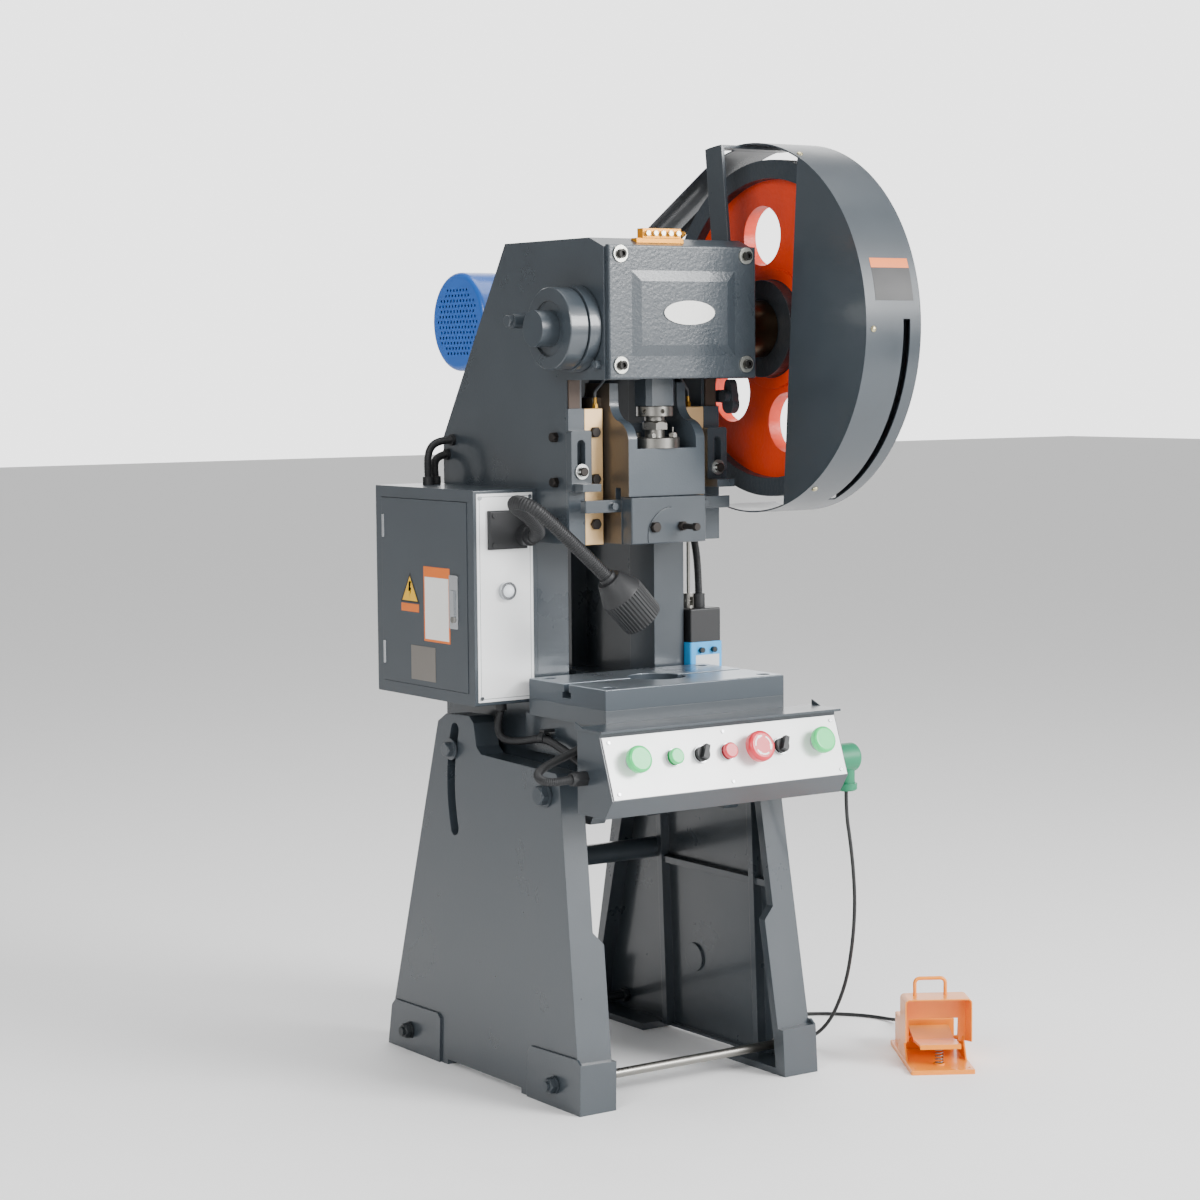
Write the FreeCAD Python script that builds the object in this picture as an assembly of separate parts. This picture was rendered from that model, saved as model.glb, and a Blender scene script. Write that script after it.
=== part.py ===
"""Open-back inclinable eccentric press of about 10 tonnes, with its foot switch.

Frame: origin on the floor under the die axis, +X to the operator's right (flywheel side),
+Y to the back of the press, +Z up. Millimetres.
"""
import FreeCAD, Part
import math
import os

V = FreeCAD.Vector
os.makedirs("parts", exist_ok=True)

# ---------------------------------------------------------------- driving dimensions
FLOOR = 0.0
RUN_FIT = 0.05          # radial clearance of turning journals
SLIDE_FIT = 0.3         # flat clearance of sliding faces
SLACK = 0.5             # clearance around bolts that pass a hole loosely

# table and bolster
TABLE_TOP = 700.0
TABLE_HALF_W = 185.0
TABLE_HALF_D = 115.0
BOLSTER_T = 35.0
SILL_T = 28.0
DIE_HOLE_R = 50.0
TEE_NECK = 14.0
TEE_HEAD = 25.0
TEE_NECK_DEPTH = 14.0
TEE_DEPTH = 24.0
BOLSTER_BOLT_X = 160.0
BOLSTER_BOLT_Y = 90.0
BOLSTER_BOLT_R = 7.0

# frame casting
SIDE_X = 155.0          # outer faces of the two side walls
WALL_T = 30.0
COLUMN_FRONT = 133.0
COLUMN_IN = 91.0        # inner faces of the column flanges, half the throat opening
FLANGE_D = 75.0
FRAME_BACK = 436.0
BACK_FLANGE_D = 40.0
KINK_Z = 1105.0
HEAD_BACK = 223.0
HEAD_TOP = 1440.0
HEAD_FRONT = -76.0
HEAD_BEVEL_Y = -34.0
HEAD_BEVEL_Z = 1424.0
HEAD_BOTTOM = 1206.0
JAW_Y = 36.0            # front edge of the side walls below the head
JAW_BOTTOM = 930.0
SKIRT_X = SIDE_X + 15.0
SKIRT_BOTTOM = 572.0
CHAMBER_X = 84.0
CHAMBER_TOP = 1408.0
CHAMBER_BACK = 96.0
BODY_BOTTOM = 462.0

# crank drive
CRANK_Z = 1291.0
JOURNAL_R = 30.0
THROW = 11.25           # crank throw and bush throw; stroke is four of them
PIN_R = 36.0
PIN_HALF = 30.0
BUSH_R = 52.0
ROD_R = 68.0
ROD_HALF = 29.0
CRANK_LEFT = -SIDE_X - 90.0
CRANK_RIGHT = SIDE_X + 179.0
SLEEVE_R = 50.0
DRUM_R = 68.0
DRUM_FACE = -SIDE_X - 59.0
DRUM_STEP = -SIDE_X - 25.0
DRUM_SMALL_R = 62.0
BAND_GAP = 0.6
BAND_T = 9.0
ANCHOR_Y = 92.0
ANCHOR_Z = 1305.0

# slide and guides, at the top of the stroke
SLIDE_BOTTOM = 930.0
SLIDE_HALF_W = 79.0
SLIDE_FRONT = -35.0
CLAMP_FRONT = -40.0
CLAMP_TOP = 1010.0
CLAMP_BACK = -12.0
POCKET_Z = 1090.0
EAR_T = 18.0
EAR_TOP = 1200.0
GIB_FRONT = 29.0
GIB_T = 16.0
GIB_IN = 87.0
GIB_OUT = SIDE_X - WALL_T - 0.5
GIB_BOTTOM = 928.0
GIB_TOP = 1158.0
RAIL_OUT = SIDE_X + 2.0
GUIDE_X = 96.5          # inner side of the rails, where the slide's wings run
WING_BACK = 100.0
SLIDE_BACK = 118.0
SHANK_R = 15.0
SHANK_DEPTH = 52.0

# knock-out
BAR_Z = 984.0
BAR_H = 21.0
BAR_FRONT = -11.0
BAR_D = 15.0
BAR_HALF = 151.0
BAR_LIFT = 14.5
BRACKET_IN = 121.0
BRACKET_OUT = 162.0
BRACKET_BOTTOM = 1020.0
BRACKET_TOP = 1122.0
BRACKET_FRONT = 13.0
BRACKET_BOLT_X = 142.0
BRACKET_BOLT_Z = 1053.0
TOE_H = 13.0

# rod foot
RING_Z = 1143.0
RING_H = 18.0
RING_R = 31.0
HEX_Z = 1121.0
HEX_H = 15.0
HEX_AF = 40.0
SCREW_R = 17.0
BALL_R = 23.0
CAP_Z = POCKET_Z
CAP_H = 18.0
CAP_R = 42.0

# flywheel, belts, motor
WHEEL_X = SIDE_X + 85.0
WHEEL_W = 70.0
WHEEL_R = 291.0
RIM_IN = 259.0
WEB_T = 26.0
WHEEL_HUB_R = 84.0
WHEEL_BOSS_R = 104.0
WHEEL_HOLE_R = 52.0
WHEEL_HOLE_PITCH = 166.0
WHEEL_HOLES = 6
WHEEL_HOLE_TURN = 78.0
MOTOR_Y = 473.0
MOTOR_Z = 1311.0
MOTOR_R = 80.0
MOTOR_CABLE_Z = MOTOR_Z + 88.0
MOTOR_FOOT = 92.0      # from the motor axis down to the sole of its foot
MOTOR_LEFT = -28.0
MOTOR_RIGHT = WHEEL_X - 68.0
COWL_R = 89.0
COWL_LEFT = -100.0
COWL_WALL = 1.5
MOTOR_SHAFT_R = 12.0
PULLEY_R = 45.0
BELT_W = 13.0
BELT_H = 8.0
BELT_XS = (WHEEL_X + 19.0, WHEEL_X + 51.0)
BELT_GAP = 0.4

# guard
GUARD_LEFT = WHEEL_X - 40.0
GUARD_RIGHT = WHEEL_X + WHEEL_W + 8.0
GUARD_R = WHEEL_R + 27.0
SHEET = 2.5
GUARD_CHORD_Y = -118.0
GUARD_TILT = 4.0
GUARD_SLOT_X = GUARD_RIGHT - 31.0
GUARD_SLOT_W = 14.5
STRAP_T = 6.0
STRAP_Y = -3.0
STRAP_W = 47.0

# legs, pivots
LEG_TOP_X = SIDE_X + 71.0
LEG_LEAN = 1.85
LEG_PLATE = 16.0
FLANGE_W = 47.0
FLANGE_LOW_W = 68.0
FLANGE_STEP_Z = 293.0
LEG_RIM = 16.0
PIVOT_Y = 0.0
PIVOT_Z = 517.0
PIVOT_R = 12.0
BOSS_R = 36.0
SLOT_RADIUS = 303.0
SLOT_UP = 15.0
SLOT_DOWN = -18.0
SLOT_AT_REST = 8.4
SLOT_HALF = 13.0
SLOT_BOLT_R = 10.0
TUBE_Y = 300.0
TUBE_Z = 342.0
TUBE_R = 19.0
TUBE_SEAT = 8.0         # depth that the tube enters each leg plate
TIE_R = 8.0
TIE_Z = 38.0
TIE_FRONT_Y = -48.0
TIE_BACK_Y = 425.0

# electrical cabinet
CAB_LEFT = -SIDE_X - 127.0
CAB_FRONT = 133.0
CAB_D = 328.0
CAB_BOTTOM = 656.0
CAB_TOP = 1022.0
CAB_WALL = 2.0
DOOR_MARGIN = 20.0
HINGE_Y = 434.0
HINGE_R = 3.0
LATCH_Y = 194.0
LATCH_Z = 830.0

# control box
BOX_HALF = 243.0
PANEL_TOP_Y = -181.0
PANEL_TOP_Z = 633.0
PANEL_LOW_Y = -217.0
PANEL_LOW_Z = 534.0
BOX_LOW_Y = -195.0
BOX_BOTTOM = 502.0
BOX_BACK = -117.0
HOOD_TOP = 644.0
HOOD_FRONT = -193.0
HOOD_HALF = 247.0
BUTTON_XS = (-190.0, -110.0, -55.0, 0.0, 55.0, 110.0, 190.0)
BUTTON_ROW = 45.0       # down the panel from its top edge

# foot switch, in its own frame: x to its right, y to its back
PEDAL_AT = V(362.0, -244.0, FLOOR)
PEDAL_TURN = -31.0
PEDAL_W = 112.0
PEDAL_L = 225.0
PEDAL_BASE_H = 8.0
HOOD_W = 118.0
HOOD_Y = 45.0
HOOD_D = 56.0
HOOD_Z = 46.0
HOOD_H = 122.0
PEDAL_SHEET = 2.0
TREADLE_PIN_Y = 128.0
TREADLE_PIN_Z = 34.0

CABLE_R = 3.3


# ---------------------------------------------------------------- helpers
def box(x0, x1, y0, y1, z0, z1):
    return Part.makeBox(x1 - x0, y1 - y0, z1 - z0, V(x0, y0, z0))


def both(x0, x1, y0, y1, z0, z1):
    """The same block on the right and on the left of the press."""
    return [box(x0, x1, y0, y1, z0, z1), box(-x1, -x0, y0, y1, z0, z1)]


def rod(start, axis, radius, length):
    return Part.makeCylinder(radius, length, start, axis)


def rod_x(x0, x1, y, z, radius):
    return rod(V(x0, y, z), V(1, 0, 0), radius, x1 - x0)


def rod_y(x, y0, y1, z, radius):
    return rod(V(x, y0, z), V(0, 1, 0), radius, y1 - y0)


def rod_z(x, y, z0, z1, radius):
    return rod(V(x, y, z0), V(0, 0, 1), radius, z1 - z0)


def slab(points, shift):
    """A flat outline pushed along a vector into a solid."""
    wire = Part.makePolygon(list(points) + [points[0]])
    return Part.Face(wire).extrude(shift)


def slab_x(outline, x0, x1):
    return slab([V(x0, y, z) for y, z in outline], V(x1 - x0, 0, 0))


def slab_y(outline, y0, y1):
    return slab([V(x, y0, z) for x, z in outline], V(0, y1 - y0, 0))


def join(shapes):
    whole = shapes[0].multiFuse(shapes[1:]) if len(shapes) > 1 else shapes[0]
    return whole.removeSplitter()


def mirror(shape):
    return shape.mirror(V(0, 0, 0), V(1, 0, 0))


def pair(shape):
    return [shape, mirror(shape)]


def edges_where(shape, wanted):
    return [e for e in shape.Edges if wanted(e)]


def along(edge, axis, least=1.0):
    """True for a straight edge that runs along the axis."""
    if edge.Curve.TypeId != "Part::GeomLine" or edge.Length < least:
        return False
    step = edge.Vertexes[-1].Point - edge.Vertexes[0].Point
    return abs(step.dot(axis)) > 0.999 * edge.Length


def middle(edge):
    return edge.valueAt((edge.FirstParameter + edge.LastParameter) / 2)


def hexagon(start, axis, across, height, turn=0.0):
    """A hexagonal prism from start along axis."""
    axis = V(axis).normalize()
    side = axis.cross(V(0, 0, 1)) if abs(axis.z) < 0.9 else V(1, 0, 0)
    side = side.normalize()
    up = axis.cross(side)
    radius = across / math.sqrt(3)
    points = []
    for k in range(6):
        a = math.radians(60 * k + turn)
        points.append(start + side * (radius * math.cos(a)) + up * (radius * math.sin(a)))
    prism = slab(points, axis * height)
    cone = Part.makeCone(across * 0.75, across * 0.46, height * 1.0, start, axis)
    return prism.common(cone.fuse(rod(start, axis, across, height * 0.72)))


def hex_bolt(seat, axis, across, head, shank_r, shank, washer_r=0.0, washer_t=0.0):
    """A bolt whose head stands out along axis from its seat and whose shank goes in."""
    axis = V(axis).normalize()
    parts = [hexagon(seat + axis * washer_t, axis, across, head)]
    parts.append(rod(seat - axis * shank, axis, shank_r, shank + washer_t + head / 2))
    if washer_t:
        parts.append(rod(seat, axis, washer_r, washer_t))
    return join(parts)


def socket_screw(seat, axis, head_r, head, shank_r, shank, washer_r=0.0, washer_t=0.0):
    """A cylinder-head screw with a hexagon socket, on a washer where one is given."""
    axis = V(axis).normalize()
    base = seat + axis * washer_t
    parts = [rod(base, axis, head_r, head)]
    parts.append(rod(seat - axis * shank, axis, shank_r, shank + washer_t + 0.1))
    if washer_t:
        parts.append(rod(seat, axis, washer_r, washer_t))
    key = hexagon(base + axis * (head * 0.4), axis, head_r, head)
    return join(parts).cut(key)


def ring(start, axis, outer, inner, height):
    return rod(start, axis, outer, height).cut(rod(start, axis, inner, height))


def save(name, shapes):
    """Write one node: a single solid, or a group of separate solids."""
    shapes = shapes if isinstance(shapes, list) else [shapes]
    solids = [solid for shape in shapes for solid in shape.Solids]
    whole = solids[0] if len(solids) == 1 else Part.makeCompound(solids)
    whole.exportStep("parts/" + name + ".step")


def tube(name, points, radius, share=0.45, bore=0.0):
    """A round tube along straight runs joined by tangent arcs; prints its radii."""
    points = [V(*p) for p in points]
    edges = []
    radii = []
    at = points[0]
    for a, b, c in zip(points, points[1:], points[2:]):
        back = (a - b).normalize()
        on = (c - b).normalize()
        turn = math.pi - back.getAngle(on)
        cut = share * min((a - b).Length, (c - b).Length)
        bend = cut / math.tan(turn / 2)
        start = b + back * cut
        end = b + on * cut
        centre = b + (back + on).normalize() * (bend / math.cos(turn / 2))
        half_way = centre + (b - centre).normalize() * bend
        edges.append(Part.LineSegment(at, start).toShape())
        edges.append(Part.Arc(start, half_way, end).toShape())
        radii.append(bend)
        at = end
    edges.append(Part.LineSegment(at, points[-1]).toShape())
    path = Part.Wire(edges)
    heading = (points[1] - points[0]).normalize()
    section = Part.Wire([Part.Circle(points[0], heading, radius).toShape()])
    solid = path.makePipeShell([section], True, False)
    true_volume = math.pi * radius * radius * path.Length
    print(name, "length %.0f" % path.Length, "least radius %.1f" % min(radii),
          "volume ratio %.4f" % (solid.Volume / true_volume),
          "radii", [round(r) for r in radii])
    return solid


# ---------------------------------------------------------------- frame casting
def side_wall():
    """Right-hand wall of the C frame, with its column flanges and throat."""
    outline = [
        (HEAD_FRONT, HEAD_BOTTOM), (HEAD_FRONT, HEAD_BEVEL_Z), (HEAD_BEVEL_Y, HEAD_TOP),
        (HEAD_BACK, HEAD_TOP), (FRAME_BACK, KINK_Z), (FRAME_BACK, TABLE_TOP - 100),
        (330, 505), (60, BODY_BOTTOM), (-22, BODY_BOTTOM), (-60, 520), (-60, 620),
        (COLUMN_FRONT, 640), (COLUMN_FRONT, JAW_BOTTOM), (JAW_Y, JAW_BOTTOM),
        (JAW_Y, HEAD_BOTTOM),
    ]
    wall = slab_x(outline, SIDE_X - WALL_T, SIDE_X)
    shin = box(COLUMN_IN, SIDE_X, COLUMN_FRONT, COLUMN_FRONT + FLANGE_D, 640, HEAD_BOTTOM)
    heel = box(COLUMN_IN, SIDE_X, FRAME_BACK - BACK_FLANGE_D, FRAME_BACK, 640, KINK_Z)
    slope = slab_x([(FRAME_BACK, KINK_Z), (FRAME_BACK - BACK_FLANGE_D, KINK_Z),
                    (HEAD_BACK - 36, HEAD_TOP - 20), (HEAD_BACK, HEAD_TOP - 1)],
                   COLUMN_IN, SIDE_X)
    return join([wall, shin, heel, slope])


def head_block():
    """The closed head between the walls, bored and hollowed for the crank."""
    outline = [(HEAD_FRONT, HEAD_BOTTOM), (HEAD_FRONT, HEAD_BEVEL_Z), (HEAD_BEVEL_Y, HEAD_TOP),
               (HEAD_BACK, HEAD_TOP), (HEAD_BACK - 36, HEAD_TOP - 32),
               (CHAMBER_BACK + 30, HEAD_TOP - 32), (CHAMBER_BACK + 30, HEAD_BOTTOM)]
    block = slab_x(outline, -SIDE_X, SIDE_X)
    chamber = box(-CHAMBER_X, CHAMBER_X, HEAD_FRONT - 1, CHAMBER_BACK,
                  HEAD_BOTTOM - 1, CHAMBER_TOP)
    return block.cut(chamber)


def table_sill():
    """The casting's own table, its skirt and the apron that carries the control box."""
    sill_top = TABLE_TOP - BOLSTER_T
    sill_low = sill_top - SILL_T
    sill = box(-TABLE_HALF_W, TABLE_HALF_W, -TABLE_HALF_D, TABLE_HALF_D, sill_low, sill_top)
    neck = box(-SIDE_X, SIDE_X, TABLE_HALF_D, COLUMN_FRONT + FLANGE_D, sill_low, sill_top)
    skirt = box(-SKIRT_X, SKIRT_X, -66, 150, SKIRT_BOTTOM, sill_low)
    hollow = box(-SKIRT_X + 28, SKIRT_X - 28, -44, 150, SKIRT_BOTTOM - 1, sill_low)
    apron = box(-118, 118, BOX_BACK, -66, SKIRT_BOTTOM, sill_low)
    bed = box(-SIDE_X, SIDE_X, COLUMN_FRONT, FRAME_BACK, sill_low, sill_low + 40)
    bed = bed.cut(box(-62, 62, 190, FRAME_BACK - 60, sill_low - 1, sill_low + 60))
    return join([sill, neck, skirt.cut(hollow), apron, bed])


def frame_casting():
    right = side_wall()
    core = join([right, mirror(right), head_block(), table_sill()])
    cross = box(-SIDE_X, SIDE_X, 34, 62, BODY_BOTTOM + 6, SKIRT_BOTTOM)
    core = join([core, cross])
    core = core.cut(rod_x(-SIDE_X - 5, SIDE_X + 5, 0, CRANK_Z, JOURNAL_R + RUN_FIT))
    boss = rod_x(SIDE_X - 1, SIDE_X + 5, 0, CRANK_Z, SLEEVE_R + 12)
    boss = boss.cut(rod_x(SIDE_X - 1, SIDE_X + 6, 0, CRANK_Z, JOURNAL_R + RUN_FIT))
    core = join([core, boss])
    core = core.cut(rod_z(0, 0, SKIRT_BOTTOM - 5, TABLE_TOP, DIE_HOLE_R + 10))
    for sign in (1, -1):
        pivot = rod_x(sign * SIDE_X - WALL_T - 2, sign * SIDE_X + WALL_T + 2,
                      PIVOT_Y, PIVOT_Z, PIVOT_R + RUN_FIT)
        bolt_y, bolt_z = slot_point(SLOT_AT_REST)
        lock = rod_x(sign * SIDE_X - WALL_T - 2, sign * SIDE_X + WALL_T + 2,
                     bolt_y, bolt_z, SLOT_BOLT_R)
        core = core.cut(pivot).cut(lock)
    return core


def slot_point(degrees, radius=SLOT_RADIUS):
    a = math.radians(degrees)
    return PIVOT_Y + radius * math.cos(a), PIVOT_Z + radius * math.sin(a)


def bolster():
    plate = box(-TABLE_HALF_W, TABLE_HALF_W, -TABLE_HALF_D, TABLE_HALF_D,
                TABLE_TOP - BOLSTER_T, TABLE_TOP)
    plate = plate.makeChamfer(1.5, edges_where(plate, lambda e: middle(e).z > TABLE_TOP - 1))
    plate = plate.cut(rod_z(0, 0, TABLE_TOP - BOLSTER_T - 1, TABLE_TOP + 1, DIE_HOLE_R))
    for sign in (1, -1):
        x0, x1 = sorted((sign * (DIE_HOLE_R - 4), sign * (TABLE_HALF_W + 1)))
        neck = box(x0, x1, -TEE_NECK / 2, TEE_NECK / 2, TABLE_TOP - TEE_DEPTH, TABLE_TOP + 1)
        head = box(x0, x1, -TEE_HEAD / 2, TEE_HEAD / 2,
                   TABLE_TOP - TEE_DEPTH, TABLE_TOP - TEE_NECK_DEPTH)
        plate = plate.cut(neck).cut(head)
    for x, y in bolster_corners():
        plate = plate.cut(rod_z(x, y, TABLE_TOP - BOLSTER_T - 1, TABLE_TOP + 1,
                                BOLSTER_BOLT_R))
        plate = plate.cut(rod_z(x, y, TABLE_TOP - 12, TABLE_TOP + 1, 12.0))
    return plate


def bolster_corners():
    return [(sx * BOLSTER_BOLT_X, sy * BOLSTER_BOLT_Y) for sx in (1, -1) for sy in (1, -1)]


def head_cover():
    """Cast cover with a raised, bevelled field in its middle."""
    back = HEAD_FRONT
    plate = box(-151, 151, back - 10, back, HEAD_BOTTOM + 1, HEAD_BEVEL_Z + 3)
    field = Part.makeLoft([
        Part.makePolygon([V(x, back - 10, z) for x, z in rectangle(106, 1245, 1385)]),
        Part.makePolygon([V(x, back - 14, z) for x, z in rectangle(88, 1262, 1368)]),
    ], True)
    plate = join([plate, field])
    rim = edges_where(plate, lambda e: abs(middle(e).y - (back - 10)) < 0.1
                      and abs(middle(e).x) > 140 or abs(middle(e).y - (back - 10)) < 0.1
                      and not 1220 < middle(e).z < 1410)
    plate = plate.makeFillet(3.0, rim)
    for x, z in cover_corners():
        plate = plate.cut(rod_y(x, back - 20, back + 1, z, 6.5))
    return plate


def rectangle(half, low, high):
    return [(-half, low), (half, low), (half, high), (-half, high), (-half, low)]


def cover_corners():
    return [(sx * 129, z) for sx in (1, -1) for z in (1230, 1412)]


def socket_screws():
    screws = []
    for x, z in cover_corners():
        screws.append(socket_screw(V(x, HEAD_FRONT - 10, z), V(0, -1, 0), 7.5, 7, 6, 26, 14, 3))
    for x, y in bolster_corners():
        screws.append(socket_screw(V(x, y, TABLE_TOP - 12), V(0, 0, 1), 10, 10, 6.5, 34))
    return screws


# ---------------------------------------------------------------- guides
def rail():
    """Right-hand guide rail: a channel the slide's wing runs in, closed by the gib."""
    base = box(GIB_IN, RAIL_OUT, GIB_FRONT, COLUMN_FRONT, GIB_BOTTOM, GIB_TOP)
    strip = box(RAIL_OUT - 26, RAIL_OUT - 4, GIB_FRONT + 3, COLUMN_FRONT, GIB_TOP, HEAD_BOTTOM)
    channel = box(GIB_IN - 1, GUIDE_X, GIB_FRONT + GIB_T, WING_BACK,
                  GIB_BOTTOM - 1, GIB_TOP + 1)
    seat = box(GIB_IN - 1, GIB_OUT, GIB_FRONT - 1, GIB_FRONT + GIB_T,
               GIB_BOTTOM - 1, GIB_TOP + 1)
    jaw = box(SIDE_X - WALL_T - 1, SIDE_X + 10, JAW_Y, COLUMN_FRONT, GIB_BOTTOM - 1,
              HEAD_BOTTOM + 1)
    return join([base, strip]).cut(channel).cut(seat).cut(jaw)


def gib():
    plate = box(GIB_IN, GIB_OUT, GIB_FRONT, GIB_FRONT + GIB_T, GIB_BOTTOM, GIB_TOP)
    return plate.makeChamfer(1.0, edges_where(plate, lambda e: middle(e).y < GIB_FRONT + 1))


def guide_bolts():
    """Hex bolts of the gibs, of the knock-out brackets and of the side adjustment."""
    bolts = []
    for z in (963, 1039, 1118):
        x = 104
        bolts += pair(hex_bolt(V(x, GIB_FRONT, z), V(0, -1, 0), 17, 7, 4, 30))
    for z in (966, 1034, 1110):
        bolts += pair(hex_bolt(V(SIDE_X, 70, z), V(1, 0, 0), 16, 10, 5, 4))
    bolts += pair(hex_bolt(V(BRACKET_BOLT_X, BRACKET_FRONT, BRACKET_BOLT_Z), V(0, -1, 0),
                           15, 8, 7, 30, 13, 3))
    return bolts


def stop_bracket():
    """Right-hand knock-out stop: slotted plate with a toe that the bar meets."""
    plate = box(BRACKET_IN, BRACKET_OUT, BRACKET_FRONT, GIB_FRONT, BRACKET_BOTTOM, BRACKET_TOP)
    toe = box(BRACKET_IN, BRACKET_OUT - 4, BAR_FRONT - 4, BRACKET_FRONT,
              BRACKET_BOTTOM, BRACKET_BOTTOM + TOE_H)
    body = join([plate, toe])
    slot = join([box(BRACKET_BOLT_X - 8, BRACKET_BOLT_X + 8, 0, 40, BRACKET_BOLT_Z, 1098),
                 rod_y(BRACKET_BOLT_X, 0, 40, BRACKET_BOLT_Z, 8),
                 rod_y(BRACKET_BOLT_X, 0, 40, 1098, 8)])
    slot = slot.common(box(100, 200, BRACKET_FRONT - 1, GIB_FRONT + 1, 1000, 1200))
    body = body.cut(slot)
    return body.makeFillet(5.0, edges_where(body, lambda e: along(e, V(0, 1, 0), 10)
                                            and middle(e).z > BRACKET_TOP - 1))


# ---------------------------------------------------------------- slide and rod
def slide():
    """Ram: body with two ears, wings for the guides, pocket, knock-out slot and shank bore."""
    body = box(-SLIDE_HALF_W, SLIDE_HALF_W, SLIDE_FRONT, SLIDE_BACK, SLIDE_BOTTOM, POCKET_Z)
    body = body.cut(box(-SLIDE_HALF_W - 1, SLIDE_HALF_W + 1, SLIDE_FRONT - 1, CLAMP_BACK,
                        SLIDE_BOTTOM - 1, CLAMP_TOP))
    ear = Part.Face(ear_wire(SLIDE_HALF_W - EAR_T)).extrude(V(EAR_T, 0, 0))
    wing = box(SLIDE_HALF_W, GUIDE_X - SLIDE_FIT, GIB_FRONT + GIB_T + SLIDE_FIT,
               WING_BACK - SLIDE_FIT, SLIDE_BOTTOM, EAR_TOP - 24)
    back = box(-SLIDE_HALF_W, SLIDE_HALF_W, SLIDE_BACK - 24, SLIDE_BACK, POCKET_Z, POCKET_Z + 40)
    body = join([body, back] + pair(ear) + pair(wing))
    bar = box(-SLIDE_HALF_W - 60, SLIDE_HALF_W + 60, BAR_FRONT - SLIDE_FIT,
              BAR_FRONT + BAR_D + SLIDE_FIT, BAR_Z - SLIDE_FIT, BAR_Z + BAR_H + BAR_LIFT + 5)
    body = body.cut(bar)
    body = body.cut(rod_z(0, 0, SLIDE_BOTTOM - 1, SLIDE_BOTTOM + SHANK_DEPTH, SHANK_R))
    body = body.cut(rod_z(0, 0, SLIDE_BOTTOM + SHANK_DEPTH - 1, BAR_Z, 6))
    socket = rod_z(0, 0, POCKET_Z - 2 * BALL_R + 1, POCKET_Z + 1, BALL_R + RUN_FIT)
    return body.cut(socket)


def ear_wire(x):
    """Outline of an ear: its front edge sweeps back in two easy curves."""
    low, high = POCKET_Z - 2, EAR_TOP
    mid_y = (SLIDE_FRONT + 20) / 2
    p = [V(x, SLIDE_FRONT, low), V(x, SLIDE_FRONT, POCKET_Z + 17), V(x, mid_y, POCKET_Z + 46),
         V(x, 20, POCKET_Z + 82), V(x, 20, high), V(x, SLIDE_BACK - 24, high),
         V(x, SLIDE_BACK - 24, low)]
    lower = Part.Arc(p[1], V(x, SLIDE_FRONT + 9, POCKET_Z + 34), p[2]).toShape()
    upper = Part.Arc(p[2], V(x, 20 - 6, POCKET_Z + 60), p[3]).toShape()
    lines = [Part.LineSegment(a, b).toShape()
             for a, b in ((p[0], p[1]), (p[3], p[4]), (p[4], p[5]), (p[5], p[6]), (p[6], p[0]))]
    return Part.Wire([lines[0], lower, upper, lines[1], lines[2], lines[3], lines[4]])


def shank_clamp():
    """Front clamp block of the shank bore."""
    block = box(-SLIDE_HALF_W + 2, SLIDE_HALF_W - 2, CLAMP_FRONT, CLAMP_BACK,
                SLIDE_BOTTOM, CLAMP_TOP - 1)
    block = block.makeChamfer(1.5, edges_where(block, lambda e: middle(e).y < CLAMP_FRONT + 1))
    block = block.cut(rod_z(0, 0, SLIDE_BOTTOM - 1, SLIDE_BOTTOM + SHANK_DEPTH, SHANK_R))
    for x in (-30, 26):
        block = block.cut(rod_y(x, CLAMP_FRONT - 1, CLAMP_BACK + 1, 958, 5.5))
    groove = ring(V(4, CLAMP_FRONT, 942), V(0, 1, 0), 49, 47.5, 1.2)
    groove = groove.common(box(-60, 4, CLAMP_FRONT - 1, 0, 930, 1000))
    return block.cut(groove)


def clamp_bolts():
    short = hex_bolt(V(-30, CLAMP_FRONT, 958), V(0, -1, 0), 17, 8, 5, 36)
    nut = hexagon(V(26, CLAMP_FRONT, 958), V(0, -1, 0), 15, 9)
    long = join([rod_y(26, CLAMP_FRONT - 38, CLAMP_BACK + 6, 958, 5), nut,
                 hexagon(V(26, CLAMP_FRONT - 38, 958), V(0, -1, 0), 13, 8)])
    return [short, long]


def knockout_bar():
    bar = box(-BAR_HALF, BAR_HALF, BAR_FRONT, BAR_FRONT + BAR_D, BAR_Z, BAR_Z + BAR_H)
    bar = bar.makeChamfer(1.5, edges_where(bar, lambda e: abs(middle(e).x) > BAR_HALF - 1))
    screws = [rod_y(x, BAR_FRONT - 8, BAR_FRONT + 1, BAR_Z + 10, 6) for x in (95, -95)]
    return join([bar] + screws)


def connecting_rod():
    """Rod with its big end round the eccentric bush and a square chamfered shank."""
    centre_z = CRANK_Z + 2 * THROW
    eye = rod_x(-ROD_HALF, ROD_HALF, 0, centre_z, ROD_R)
    shank = box(-30, 30, -24, 24, RING_Z + RING_H, centre_z)
    shank = shank.makeChamfer(8.0, edges_where(shank, lambda e: along(e, V(0, 0, 1), 50)))
    body = join([eye, shank])
    body = body.cut(rod_x(-ROD_HALF - 5, ROD_HALF + 5, 0, centre_z, BUSH_R + RUN_FIT))
    return body.cut(rod_z(0, 0, RING_Z + RING_H - 1, 1225, SCREW_R))


def adjusting_screw():
    """Ball screw: thread in the rod, hexagon for the spanner, ball foot in the slide."""
    stem = rod_z(0, 0, POCKET_Z - 20, 1225, SCREW_R)
    ball = Part.makeSphere(BALL_R, V(0, 0, POCKET_Z - BALL_R + 1))
    return join([stem, ball, hexagon(V(0, 0, HEX_Z), V(0, 0, 1), HEX_AF, HEX_H)])


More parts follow.
